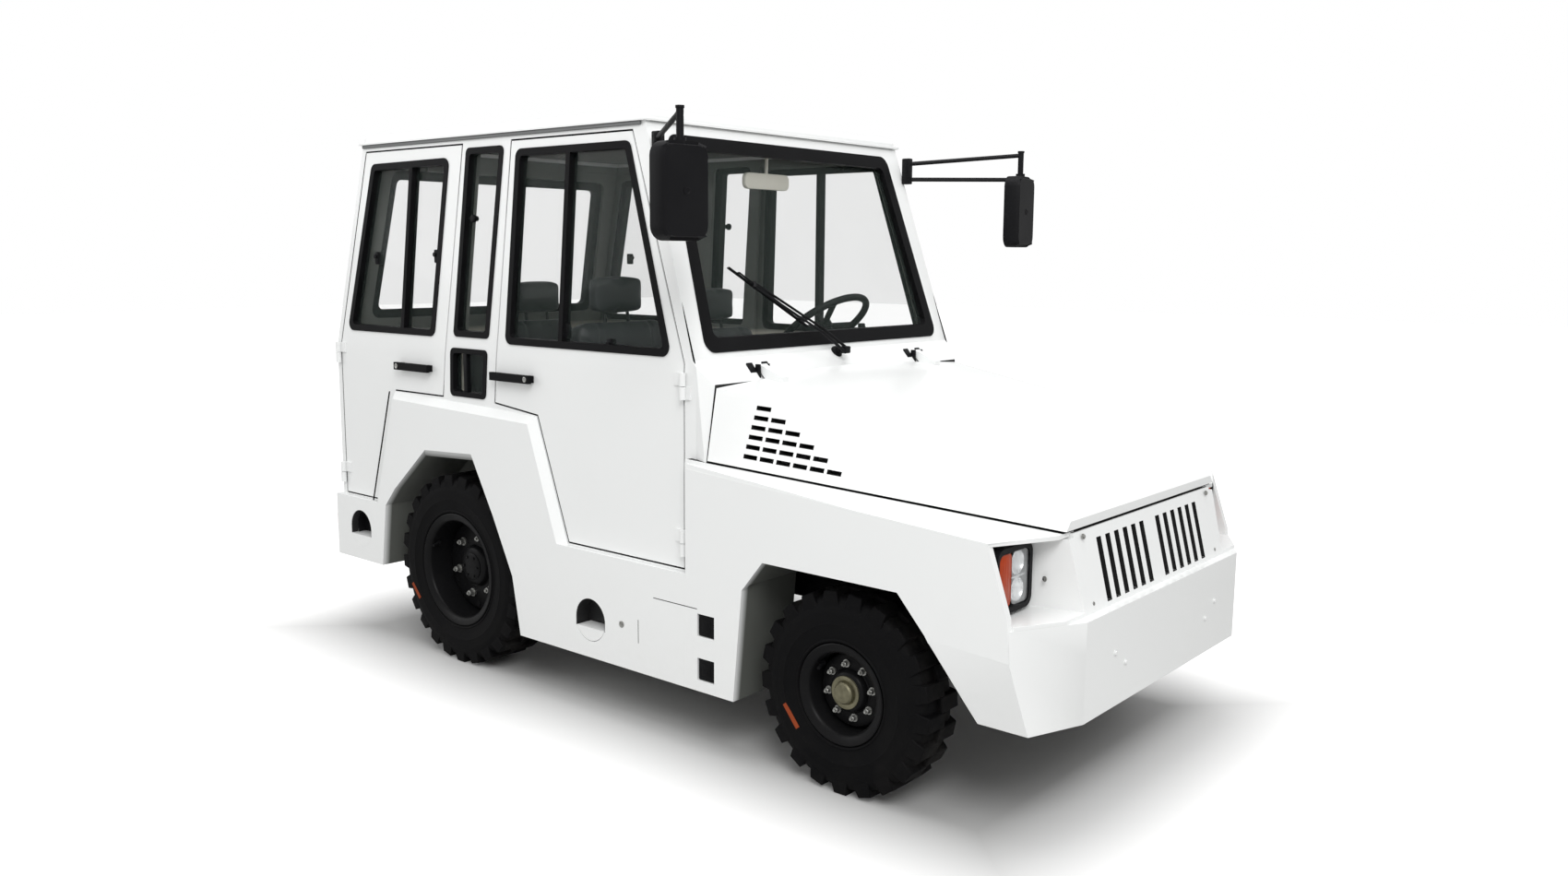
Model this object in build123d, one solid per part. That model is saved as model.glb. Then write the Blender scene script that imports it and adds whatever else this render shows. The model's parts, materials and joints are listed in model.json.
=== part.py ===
from build123d import *
import math
import os

# Airport baggage tug. Millimetres, X forward, Y to the left, Z up.
# The origin is on the ground, under the middle of the tug from bumper to tow hitch.

# Lengths along the tug
wheelbase = 1785
front_overhang = 653
rear_overhang = 749
hitch_reach = 131

# Widths
body_width = 1440
cab_width = 1380
roof_width = 1310
side_plate = 20

# Heights
sill_bottom = 195
sill_top = 552
belt = 1150
gutter = 1914
roof_height = 36

# Wheels
front_tyre_radius = 295
front_tyre_width = 165
front_rim_radius = 142
rear_tyre_radius = 353
rear_tyre_width = 210
rear_rim_radius = 205
tyre_face = 690
front_lugs = 21
rear_lugs = 25
lug_depth = 14
kingpin_y = 500
steer_arm = 130

# Clearances and sheets
door_gap = 6
door_wall = 40
rebate_gap = 6
cab_wall = 60
door_lip = 14
shaft_gap = 0.3
hood_gap = 7
hood_skin = 18
glass = 5

# Stations worked out from the lengths
length = wheelbase + front_overhang + rear_overhang + hitch_reach
front_x = length / 2
front_axle = front_x - front_overhang
rear_axle = front_axle - wheelbase
rear_x = rear_axle - rear_overhang
body_half = body_width / 2
cab_half = cab_width / 2
roof_half = roof_width / 2
front_wheel_y = tyre_face - front_tyre_width / 2
rear_wheel_y = tyre_face - rear_tyre_width / 2

# Cab planes: the windscreen and the back lean in above the belt
cab_front = front_axle - 548
windscreen_lean = 246
cab_rear = rear_x + 5
back_lean = 186
pillar_front = cab_front - 54
hood_back = cab_front + 53
dash_front = cab_front - cab_wall


def box(x, y, z):
    return Pos(sum(x) / 2, sum(y) / 2, sum(z) / 2) * Box(x[1] - x[0], y[1] - y[0], z[1] - z[0])


def side_slab(points, y0, y1):
    """Side view outline, points x and z, from y0 to y1."""
    face = Face(Wire.make_polygon([Vector(x, y0, z) for x, z in points]))
    return Solid.extrude(face, Vector(0, y1 - y0, 0))


def front_slab(points, x0, x1):
    """Front view outline, points y and z, from x0 to x1."""
    face = Face(Wire.make_polygon([Vector(x0, y, z) for y, z in points]))
    return Solid.extrude(face, Vector(x1 - x0, 0, 0))


def plan_slab(points, z0, z1):
    """Plan outline, points x and y, from z0 to z1."""
    face = Face(Wire.make_polygon([Vector(x, y, z0) for x, y in points]))
    return Solid.extrude(face, Vector(0, 0, z1 - z0))


def polygon(points):
    return Face(Wire.make_polygon([Vector(*p) for p in points]))


def ruled(sections, closed=False):
    """Solid through polygons of as many points each, with flat sides where they can be flat."""
    faces = [] if closed else [polygon(sections[0]), polygon(sections[-1])]
    for low, high in zip(sections, sections[1:] + sections[:1] if closed else sections[1:]):
        for index in range(len(low)):
            after = (index + 1) % len(low)
            a, b, c, d = (Vector(*p) for p in (low[index], low[after], high[after], high[index]))
            if (b - a).length < 0.001 or (c - d).length < 0.001:
                faces.append(polygon([a, c, d] if (b - a).length < 0.001 else [a, b, c]))
            elif abs((b - a).cross(d - a).normalized().dot(c - a)) < 0.001:
                faces.append(polygon([a, b, c, d]))
            else:
                faces += [polygon([a, b, c]), polygon([a, c, d])]
    return Solid(Shell(faces))


def rod(start, end, radius):
    start, end = Vector(*start), Vector(*end)
    along = end - start
    return Plane(origin=start, z_dir=along) * Cylinder(
        radius, along.length, align=(Align.CENTER, Align.CENTER, Align.MIN))


def turned(points, x, y, z):
    """Revolved about the wheel axis: points are radius and distance outward from y."""
    face = Face(Wire.make_polygon([Vector(x + r, y + out, z) for r, out in points]))
    return Solid.revolve(face, 360, Axis((x, y, z), (0, 1, 0)))


def grown(points, amount):
    """Outline of x, z pairs moved out by amount on every side."""
    wire = Wire.make_polygon([Vector(x, z, 0) for x, z in points])
    corners = wire.offset_2d(amount, kind=Kind.INTERSECTION).vertices()
    loose = [Vector(v.X, v.Y, 0) for v in corners]
    ordered = []
    for x, z in points:
        near = min(loose, key=lambda c: (c - Vector(x, z, 0)).length)
        ordered.append((near.X, near.Y))
    return ordered


def other(shape):
    return mirror(shape, about=Plane.XZ)


def both(shape):
    return Compound(children=[*shape.solids(), *other(shape).solids()])


def rounded(shape, axis, radius):
    return fillet(shape.edges().filter_by(axis), radius)


def save(shape, name):
    export_step(shape, f"parts/{name}.step")


def wheel_section(points, x, y, z, turn, across=lambda r: 0):
    """Profile of radius and distance outward, turned from straight down and set off across that radius."""
    sine, cosine = math.sin(turn), math.cos(turn)
    return [(x + r * sine + across(r) * cosine, y + out, z - r * cosine + across(r) * sine)
            for r, out in points]


def make_tyre(axle_x, y, radius, width, rim_radius, lugs):
    """Carcass of flat facets, each with a lug from one shoulder or the other to just past the middle."""
    half = width / 2
    bulge = (radius + rim_radius) / 2
    floor = radius - lug_depth
    step = math.pi / lugs
    profile = [(rim_radius - 14, -half + 14), (bulge, -half), (floor, -half + 24),
               (floor, half - 24), (bulge, half), (rim_radius - 14, half - 14)]
    corners = [(r / math.cos(step / 2), out) for r, out in profile]
    carcass = ruled([wheel_section(corners, axle_x, y, radius, (index + 0.5) * step)
                     for index in range(2 * lugs)], closed=True)
    past = 0.12 * half
    lug = [(bulge - 4, half - 5), (radius, half - 9), (radius, -past), (floor - 6, -past),
           (floor - 6, half - 44), (bulge - 4, half - 30)]
    blocks = []
    for index in range(2 * lugs):
        side = 1 if index % 2 else -1
        shape = [(r, side * out) for r, out in lug]
        flank = [wheel_section(shape, axle_x, y, radius, index * step,
                               lambda r: edge * (radius * math.tan(step / 2) + (radius - r) * 0.15))
                 for edge in (-1, 1)]
        blocks.append(ruled(flank))
    return carcass.fuse(*blocks)


def make_rim(axle_x, y, radius, width, rim_radius, disc_out, bore):
    """Barrel with two flanges, a dished disc and the hub that runs on the spindle."""
    half = width / 2
    seat = rim_radius - 14
    profile = [
        (bore, disc_out - 62), (bore + 26, disc_out - 62), (bore + 26, disc_out - 12),
        (seat - 34, disc_out - 12), (seat - 12, disc_out - 40), (seat - 12, -half + 12),
        (rim_radius + 4, -half + 5), (seat, -half + 14), (seat, half - 14), (rim_radius + 4, half - 5),
        (seat - 12, half - 12), (seat - 12, disc_out - 26), (seat - 34, disc_out),
        (bore + 34, disc_out), (bore + 28, disc_out + 20), (bore + 8, disc_out + 26),
        (0, disc_out + 26), (0, disc_out + 6), (bore, disc_out + 6),
    ]
    return turned(profile, axle_x, y, radius)


def cab_volume(side_inset, end_inset, bottom=sill_top, top=gutter):
    """The cab's outer planes, sides and ends moved in; they all lean in above the belt."""
    def ring(z, rise):
        x0 = cab_rear + back_lean * rise + end_inset
        x1 = cab_front - windscreen_lean * rise - end_inset
        half = cab_half + (roof_half - cab_half) * rise - side_inset
        return [(x0, -half, z), (x1, -half, z), (x1, half, z), (x0, half, z)]
    span = (top - belt) / (gutter - belt)
    return ruled([ring(bottom, 0), ring(belt, 0)]) + ruled([ring(belt, 0), ring(top, span)])


outer = cab_volume(0, 0)

# Wheels
front_bore, rear_bore = 30 + shaft_gap, 44 + shaft_gap
front_disc, rear_disc = 24, 6
os.makedirs("parts", exist_ok=True)
front_tyre = make_tyre(front_axle, front_wheel_y, front_tyre_radius, front_tyre_width, front_rim_radius,
                       front_lugs)
front_rim = make_rim(front_axle, front_wheel_y, front_tyre_radius, front_tyre_width, front_rim_radius,
                     front_disc, front_bore)
rear_tyre = make_tyre(rear_axle, rear_wheel_y, rear_tyre_radius, rear_tyre_width, rear_rim_radius, rear_lugs)
rear_rim = make_rim(rear_axle, rear_wheel_y, rear_tyre_radius, rear_tyre_width, rear_rim_radius,
                    rear_disc, rear_bore)
for place, tyre, rim in (("front", front_tyre, front_rim), ("rear", rear_tyre, rear_rim)):
    save(tyre, f"tyre_{place}_left")
    save(other(tyre), f"tyre_{place}_right")
    save(rim, f"rim_{place}_left")
    save(other(rim), f"rim_{place}_right")

# Steered axle: beam with an eye at each end, knuckle yokes on kingpins, tie rod behind
hub_z = front_tyre_radius
eye_half, eye_radius, kingpin_radius = 40, 34, 18
yoke_gap, yoke_plate = 5, 22
beam_half = 35
spring_y, spring_width = 310, 60
eye = Pos(front_axle, kingpin_y, hub_z) * Cylinder(eye_radius, 2 * eye_half)
beam = box((front_axle - beam_half, front_axle + beam_half), (0, kingpin_y),
           (hub_z - eye_half, hub_z + eye_half))
web_cut = box((front_axle + 10, front_axle + 90), (0, spring_y - 60), (hub_z - 26, hub_z + 26))
half_axle = beam + eye - web_cut - mirror(web_cut, about=Plane(origin=(front_axle, 0, 0), z_dir=(1, 0, 0)))
half_axle -= Pos(front_axle, kingpin_y, hub_z) * Cylinder(kingpin_radius + shaft_gap, 4 * eye_half)
save(half_axle + other(half_axle), "front_axle")

ear_z = eye_half + yoke_gap
web_y = kingpin_y + eye_radius + 6
pin_x = front_axle - steer_arm
pin_radius, rod_end_radius = 9, 17
ear = plan_slab([(front_axle - 36, kingpin_y - 30), (front_axle + 36, kingpin_y - 30),
                 (front_axle + 36, web_y + 20), (front_axle - 36, web_y + 20)], 0, yoke_plate)
ear = rounded(ear, Axis.Z, 14)
low_ear = hub_z - ear_z - yoke_plate
arm = box((pin_x, front_axle), (kingpin_y - 16, kingpin_y + 16), (low_ear, low_ear + yoke_plate))
arm += Pos(pin_x, kingpin_y, low_ear + yoke_plate / 2) * Cylinder(16, yoke_plate)
rod_z = low_ear + yoke_plate + 18
knuckle = Pos(0, 0, hub_z + ear_z) * ear + Pos(0, 0, low_ear) * ear + arm
knuckle += box((front_axle - 36, front_axle + 36), (web_y, web_y + 20), (low_ear, hub_z + ear_z + yoke_plate))
knuckle += rod((front_axle, kingpin_y, low_ear - 4), (front_axle, kingpin_y, hub_z + ear_z + yoke_plate + 4),
               kingpin_radius)
knuckle += rod((front_axle, web_y + 10, hub_z), (front_axle, front_wheel_y + front_disc, hub_z),
               front_bore - shaft_gap)
knuckle += rod((pin_x, kingpin_y, low_ear + 4), (pin_x, kingpin_y, rod_z + 18), pin_radius)
save(knuckle, "knuckle_left")
save(other(knuckle), "knuckle_right")

tie_rod = rod((pin_x, -kingpin_y, rod_z), (pin_x, kingpin_y, rod_z), 12)
for y in (-kingpin_y, kingpin_y):
    tie_rod += Pos(pin_x, y, rod_z) * Cylinder(rod_end_radius, 28)
for y in (-kingpin_y, kingpin_y):
    tie_rod -= Pos(pin_x, y, rod_z) * Cylinder(pin_radius + shaft_gap, 60)
save(tie_rod, "tie_rod")

# Driven axle: tubes, hub drums and the differential, with the propeller shaft ahead
rear_z = rear_tyre_radius
drive_tube = 52
rear_axle_half = rod((rear_axle, 0, rear_z), (rear_axle, rear_wheel_y + rear_disc - 90, rear_z), drive_tube)
rear_axle_half += rod((rear_axle, rear_wheel_y - 105, rear_z), (rear_axle, rear_wheel_y - 70, rear_z), 120)
rear_axle_half += rod((rear_axle, 0, rear_z), (rear_axle, rear_wheel_y + rear_disc, rear_z),
                      rear_bore - shaft_gap)
differential = Pos(rear_axle, 0, rear_z) * Sphere(150) & box(
    (rear_axle - 150, rear_axle + 150), (-105, 105), (rear_z - 150, rear_z + 150))
shaft_z = rear_z + 20
engine_back, gearbox_back = pillar_front + 210, pillar_front + 70
prop = rod((rear_axle + 100, 0, shaft_z), (gearbox_back - 1, 0, shaft_z + 10), 32)
save(rear_axle_half + other(rear_axle_half) + differential + prop, "rear_axle")

# Leaf springs: leaves x half length, all arched the same
rail_bottom, rail_top = 436, sill_top
rail_y = spring_y


def make_spring(axle_x, seat_z, reach):
    """Arched leaves on a seat, the longest reaching the hangers under the rail."""
    leaf, rise = 10, 24
    spring = None
    for index, share in enumerate((1, 0.78, 0.56, 0.34)):
        half = reach * share
        low = seat_z + 6 + (3 - index) * leaf
        tip = low + rise * share ** 2
        edges = [
            ThreePointArc((axle_x - half, 0, tip), (axle_x, 0, low), (axle_x + half, 0, tip)),
            Line((axle_x + half, 0, tip), (axle_x + half, 0, tip + leaf)),
            ThreePointArc((axle_x + half, 0, tip + leaf), (axle_x, 0, low + leaf),
                          (axle_x - half, 0, tip + leaf)),
            Line((axle_x - half, 0, tip + leaf), (axle_x - half, 0, tip)),
        ]
        blade = Solid.extrude(Face(Wire(edges)), Vector(0, spring_width, 0))
        spring = blade if spring is None else spring + blade
    spring = Pos(0, spring_y - spring_width / 2, 0) * spring
    top = seat_z + 6 + 4 * leaf
    spring += box((axle_x - 60, axle_x + 60), (spring_y - 40, spring_y + 40), (seat_z, seat_z + 12))
    spring += box((axle_x - 45, axle_x + 45), (spring_y - 40, spring_y + 40), (top - 6, top + 14))
    tip = seat_z + 6 + 3 * leaf + rise
    for side in (-1, 1):
        spring += rod((axle_x + side * reach, spring_y - 34, tip + leaf),
                      (axle_x + side * reach, spring_y + 34, tip + leaf), 18)
        hanger_x = axle_x + side * reach
        spring += box((hanger_x - 14, hanger_x + 14), (spring_y - 40, spring_y - 31),
                      (tip - 10, rail_bottom))
        spring += box((hanger_x - 14, hanger_x + 14), (spring_y + 31, spring_y + 40),
                      (tip - 10, rail_bottom))
    return spring


springs = [make_spring(front_axle, hub_z + eye_half, 340),
           make_spring(rear_axle, rear_z - drive_tube - 60, 330)]
save(Compound(children=[s for spring in springs for s in both(spring).solids()]), "leaf_springs")

# Frame: two channels, cross members and outriggers to the sills
rail_front, rail_rear = front_x - 130, rear_x + 24
channel = [(rail_y + 40, rail_bottom), (rail_y + 40, rail_top), (rail_y - 40, rail_top),
           (rail_y - 40, rail_top - 12), (rail_y + 28, rail_top - 12), (rail_y + 28, rail_bottom + 12),
           (rail_y - 40, rail_bottom + 12), (rail_y - 40, rail_bottom)]
chassis = front_slab(channel, rail_rear, rail_front)
chassis += other(chassis)
sill_inner = 470
for x in (rail_rear + 40, rear_axle + 430, pillar_front - 60, rail_front - 40):
    chassis += box((x - 40, x + 40), (-rail_y - 30, rail_y + 30), (rail_bottom + 20, rail_top - 20))
for x in (rear_axle + 520, pillar_front - 60):
    for side in (-1, 1):
        chassis += box((x - 30, x + 30), tuple(sorted((side * (rail_y + 30), side * sill_inner))),
                       (rail_bottom + 10, rail_top - 30))
for side in (-1, 1):
    chassis += box((front_x - 150, front_x - 60), tuple(sorted((side * (rail_y - 40), side * (rail_y + 40)))),
                   (rail_bottom, rail_top))
save(chassis, "chassis_frame")

engine = box((engine_back, front_axle + 290), (-230, 230), (rail_bottom - 40, 800))
engine -= box((front_axle - 90, front_axle + 90), (-300, 300), (rail_bottom - 60, rail_bottom + 10))
engine += box((gearbox_back, engine_back), (-130, 130), (rail_bottom - 110, 700))
save(engine, "engine_block")

# Radiator on the rails, its core set back in the frame
radiator_x, radiator_half, radiator_top = front_axle + 310, rail_y + 20, 775
radiator_frame = 26
radiator = box((radiator_x, radiator_x + 60), (-radiator_half, radiator_half), (rail_top, radiator_top))
core_half = radiator_half - radiator_frame
radiator -= box((radiator_x + 48, radiator_x + 70), (-core_half, core_half),
                (rail_top + radiator_frame, radiator_top - radiator_frame))
save(radiator, "radiator")

# Wheel arches, offsets from the axle and heights, rear to front
rear_arch = [(rear_axle + dx, z) for dx, z in (
    (-434, 305), (-399, 547), (-331, 621), (-159, 764), (169, 780), (274, 597), (374, 400),
    (413, sill_bottom))]
front_arch = [(front_axle + dx, z) for dx, z in (
    (-371, sill_bottom), (-338, 541), (-259, 637), (211, 635), (301, 535), (444, 323))]
arch_band = 10
fender_back = pillar_front + 34

# Flare over the rear wheel, as the doors meet it: offsets from the rear axle and heights
flare_high, flare_low = 992, 968
flare = [(rear_axle + dx, z) for dx, z in (
    (-484, sill_top), (-344, flare_high), (492, flare_low), (642, sill_top))]

quarter_bottom = 305
side_outline = [(rear_x, quarter_bottom), *rear_arch, (fender_back, sill_bottom), (fender_back, sill_top),
                flare[3], flare[2], flare[1], flare[0], (rear_x, sill_top)]
wheelhouse_y = 450
side_panel = side_slab(side_outline, cab_half, body_half)
bevel = [e for e in side_panel.edges() if abs(e.center().Y - body_half) < 1
         and sill_top - 1 <= e.center().Z and flare[0][0] - 2 < e.center().X < flare[3][0] + 2
         and abs(e.center().Z - 600) > 100 or
         (abs(e.center().Y - body_half) < 1 and flare[2][0] - 1 < e.center().X < flare[3][0] + 1
          and e.center().Z > sill_top + 10)]
side_panel = chamfer(bevel, 26)
liner = side_slab(grown([(rear_arch[0][0], 250), *rear_arch[:-1], (rear_arch[-1][0], 250)], arch_band),
                  wheelhouse_y, cab_half)
liner &= box((rear_x, front_x), (0, body_half), (quarter_bottom, 900))
wheel_space = side_slab([(rear_arch[0][0], 100), *rear_arch, (rear_arch[-1][0], 100)],
                        wheelhouse_y + arch_band, body_half + 50)
wheel_space += side_slab([(rear_arch[0][0], 100), *rear_arch, (rear_arch[-1][0], 100)],
                         wheelhouse_y - 10, body_half) & box((rear_x, front_x), (0, body_half),
                                                             (100, rail_top))
sill_box = side_slab([rear_arch[-2], rear_arch[-1], (fender_back, sill_bottom), (fender_back, sill_top),
                      (rear_arch[-3][0] + 60, sill_top)], sill_inner, cab_half)
body_side = side_panel + liner + sill_box - wheel_space
scoop_half, scoop_height, scoop_depth = 72, 100, 60
for x, bottom in ((rear_axle + 780, sill_bottom + 99), (rear_x + 170, quarter_bottom + 98)):
    scoop_y = (body_half - scoop_depth, body_half + 1)
    body_side -= box((x - scoop_half, x + scoop_half), scoop_y, (bottom, bottom + scoop_height - scoop_half))
    body_side -= rod((x, scoop_y[0], bottom + scoop_height - scoop_half),
                     (x, scoop_y[1], bottom + scoop_height - scoop_half), scoop_half)
save(both(body_side), "body_sides")

# Front fenders: side plate, ledge under the bonnet edge, arch liner and the corner block
ledge_back_z, ledge_front_z = 877, 803
nose_x = front_x - 172
lamp_sill_x = front_x - 111
corner_low_x = front_x - 63
bumper_bottom, bumper_top, crease_z = 323, 594, 507
side_tuck = 38
bonnet_front = front_x - 81
bonnet_back_half, bonnet_front_half = 700, 486
bonnet_back_z, bonnet_lip_z = 905, 812
fender_outline = [(fender_back, sill_bottom), *front_arch, (corner_low_x, bumper_bottom),
                  (front_x - 101, crease_z), (lamp_sill_x, bumper_top + 30), (nose_x, ledge_front_z),
                  (fender_back, ledge_back_z)]
fender = side_slab(fender_outline, body_half - side_plate, body_half)
wing = 60
ledge_sheet = 12


def bonnet_edge(x):
    """Half width of the bonnet's lower edge."""
    share = (x - hood_back) / (bonnet_front - hood_back)
    return bonnet_back_half + share * (bonnet_front_half - bonnet_back_half)


def bonnet_edge_z(x):
    share = (x - hood_back) / (bonnet_front - hood_back)
    return bonnet_back_z + share * (bonnet_lip_z - bonnet_back_z)


def ledge_section(x, outer_z):
    inner_y, inner_z = bonnet_edge(x) - wing, bonnet_edge_z(x) - hood_gap
    return [(x, body_half, outer_z), (x, bonnet_edge(x) + 4, inner_z), (x, inner_y, inner_z),
            (x, inner_y, inner_z - ledge_sheet), (x, bonnet_edge(x) + 4, inner_z - ledge_sheet),
            (x, body_half, outer_z - ledge_sheet)]


ledge = ruled([ledge_section(fender_back, ledge_back_z), ledge_section(front_x - 90, ledge_front_z)])
ledge -= plan_slab([(nose_x, body_half + 50), (nose_x, body_half), (bonnet_front, bonnet_front_half),
                    (front_x + 50, bonnet_front_half), (front_x + 50, body_half + 50)], 700, 1000)
corner_inner = body_half - 120
corner = side_slab([front_arch[4], front_arch[5], (corner_low_x, bumper_bottom), (front_x - 101, crease_z),
                    (lamp_sill_x, bumper_top), (front_arch[4][0], bumper_top)],
                   corner_inner, body_half - side_plate)
inner_wall_y = 355
front_liner = side_slab(grown([(front_arch[0][0], 100), *front_arch, (front_arch[-1][0], 100)], arch_band),
                        inner_wall_y, body_half - side_plate)
front_liner &= box((rear_x, front_x), (0, body_half), (rail_top + 4, 900)) + box(
    (fender_back, front_arch[1][0]), (sill_inner, body_half), (sill_bottom, rail_top + 4)) + box(
    (front_arch[3][0], front_arch[5][0] + 20), (corner_inner, body_half), (bumper_bottom, rail_top + 4))
front_wheel_space = side_slab([(front_arch[0][0], 100), *front_arch, (front_arch[-1][0], 100)],
                              inner_wall_y + arch_band, body_half + 50)
front_sill = side_slab([(fender_back, sill_bottom), front_arch[0], front_arch[1],
                        (fender_back, front_arch[1][1])], sill_inner, body_half - side_plate)
tuck = ruled([
    [(x, body_half, top), (x, body_half + 60, top), (x, body_half + 60, bumper_bottom),
     (x, body_half - side_tuck, bumper_bottom)]
    for x, top in ((front_arch[4][0] + 12, crease_z + 21), (front_x, crease_z))])
fender = fender + ledge + corner + front_liner + front_sill - front_wheel_space - tuck - outer
pad_size, pad_depth = 70, 25
for bottom in (sill_bottom + 35, sill_bottom + 173):
    fender -= box((fender_back + 50, fender_back + 50 + pad_size), (body_half - pad_depth, body_half + 1),
                  (bottom, bottom + pad_size))
save(both(fender), "front_fenders")

# Bumper: plate with angled corners, section x side, half width at the side
bumper_face_half = body_half - 210
bumper_plate = 25


def bumper_section(z, side_x, side_y, inset):
    half = [(front_x - 160, side_y - inset), (side_x - inset, side_y - inset),
            (front_x - inset, bumper_face_half - inset * 0.5)]
    return [(x, y, z) for x, y in half] + [(x, -y, z) for x, y in reversed(half)]


bumper = ruled([bumper_section(bumper_bottom, corner_low_x, body_half - side_tuck, 0),
                bumper_section(crease_z, front_x - 101, body_half, 0),
                bumper_section(bumper_top, lamp_sill_x, body_half, 0)])
bumper -= ruled([bumper_section(bumper_bottom - 5, corner_low_x, body_half - side_tuck, bumper_plate),
                 bumper_section(bumper_top - bumper_plate, lamp_sill_x, body_half, bumper_plate)])
fender_room = side_slab(fender_outline, corner_inner, body_half + 80)
bumper = bumper - fender_room - other(fender_room)
save(bumper, "front_bumper")

# Nose: grille plate between two lamp alcoves
nose_top = ledge_front_z - ledge_sheet
grille_top_x, grille_bottom_x = front_x - 80, front_x - 28
grille_plate, slot_width, slot_pitch, slot_count = 15, 27, 53, 6
slot_low, slot_high = 606, 774
alcove_back = front_x - 197
nose_back = alcove_back - 12
nose = side_slab([(nose_back, bumper_top), (grille_bottom_x, bumper_top), (grille_top_x, ledge_front_z),
                  (nose_back, ledge_front_z)], -body_half + side_plate, body_half - side_plate)
alcove = plan_slab([(alcove_back, bonnet_front_half + 19), (front_x + 20, bonnet_front_half - 34),
                    (front_x + 20, body_half + 20), (alcove_back, body_half + 20)], bumper_top + 10, nose_top)
over_ledge = plan_slab([(nose_back - 10, bonnet_front_half - 30), (front_x + 20, bonnet_front_half - 40),
                        (front_x + 20, body_half + 20), (nose_back - 10, body_half + 20)],
                       nose_top, ledge_front_z + 20)
grille_half = bonnet_front_half - 56
hollow = side_slab([(nose_back - 10, bumper_top - 10), (grille_bottom_x - grille_plate, bumper_top - 10),
                    (grille_top_x - grille_plate, ledge_front_z - 12), (nose_back - 10, ledge_front_z - 12)],
                   -grille_half, grille_half)
nose = nose - alcove - other(alcove) - over_ledge - other(over_ledge) - hollow
for group in (-1, 1):
    for index in range(slot_count):
        y = group * (index + 1) * slot_pitch
        nose -= box((front_x - 140, front_x), (y - slot_width / 2, y + slot_width / 2), (slot_low, slot_high))
nose &= plan_slab([(nose_back, p[1]) if p[0] == front_x - 160 else p[:2]
                   for p in bumper_section(bumper_top, lamp_sill_x, body_half, 0)], bumper_top, ledge_front_z)
nose = nose - fender - other(fender)
save(nose, "nose_panel")

# Bonnet: side profile cut by the tapering section, then hollowed by the same form
crease_back = (bonnet_back_half - 25, belt - 25)
crease_front = (bonnet_front_half - 178, belt - 158)
bonnet_shoulder = belt - 114


def bonnet_ring(x, edge, crease, skin):
    """Section from below the edge, along the side to the crease, then to the crown."""
    reach = 1.4 if skin else 0.2
    low_y, low_z = (e + reach * (e - c) for e, c in zip(edge, crease))
    half = [(low_y - skin, low_z - skin), (crease[0] - skin, crease[1] - skin), (120, crease[1] + 34 - skin)]
    points = [(x, y, z) for y, z in half] + [(x, -y, z) for y, z in reversed(half)]
    return Wire.make_polygon([Vector(*p) for p in points])


def make_bonnet(skin):
    back = hood_back - (60 if skin else 0)
    front = bonnet_front - skin
    low = 300 if skin else 0
    body = side_slab([(back, bonnet_back_z - low), (front, bonnet_lip_z - low),
                      (front, bonnet_lip_z + 24 - skin), (front - 120, bonnet_shoulder - 68 - skin),
                      (front - 290, bonnet_shoulder - skin), (back, belt - skin)],
                     -body_half - 80, body_half + 80)
    nose_edges = [e for e in body.edges().filter_by(Axis.Y)
                  if bonnet_lip_z + 60 < e.center().Z < bonnet_shoulder and e.center().X > back + 200]
    body = fillet(nose_edges, 240)
    ends = hood_back - 54, bonnet_front + 40
    back_edge = (bonnet_back_half + 9, bonnet_back_z + 4)
    front_edge = (bonnet_front_half - 8, bonnet_lip_z - 4)
    taper = Solid.make_loft([bonnet_ring(ends[0], back_edge, crease_back, skin),
                             bonnet_ring(ends[1], front_edge, crease_front, skin)], True)
    return body & taper


bonnet = make_bonnet(0) - make_bonnet(hood_skin)
strap_y, pivot_x, pivot_z = 425, hood_back - 22, belt + 16
strap = side_slab([(pivot_x, pivot_z + 9), (pivot_x, pivot_z - 9), (hood_back + 4, belt - 20),
                   (hood_back + 70, belt - 34), (hood_back + 70, belt - 10)], strap_y - 16, strap_y + 16)
strap += rod((pivot_x, strap_y - 16, pivot_z), (pivot_x, strap_y + 16, pivot_z), 10)
strap -= rod((pivot_x, strap_y - 40, pivot_z), (pivot_x, strap_y + 40, pivot_z), 5 + shaft_gap)
bonnet = bonnet + strap + other(strap)

# Louvres on the bonnet's sides: each row has one slot more than the row above
louvre_rows, louvre_pitch, louvre_drop = 6, 53, 28
louvre_length, louvre_height = 44, 13
louvre_x, louvre_z = hood_back + 131, belt - 88
edge_slope = (bonnet_lip_z - bonnet_back_z) / (bonnet_front - hood_back)
louvres = []
for row in range(louvre_rows):
    for index in range(row + 1):
        x, along = louvre_x - 3 * row + index * louvre_pitch, index * louvre_pitch
        low = louvre_z - row * louvre_drop + along * edge_slope
        fall = louvre_length * edge_slope
        louvres.append(side_slab([(x, low), (x + louvre_length, low + fall),
                                  (x + louvre_length, low + fall + louvre_height), (x, low + louvre_height)],
                                 bonnet_front_half, body_half + 40))
bonnet = bonnet - louvres - [other(louvre) for louvre in louvres]
save(bonnet, "bonnet")


def lean_front(z):
    """Front edge of the front door, beside the windscreen pillar."""
    return pillar_front + 12 - windscreen_lean * max(0, z - belt) / (gutter - belt)


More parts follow.
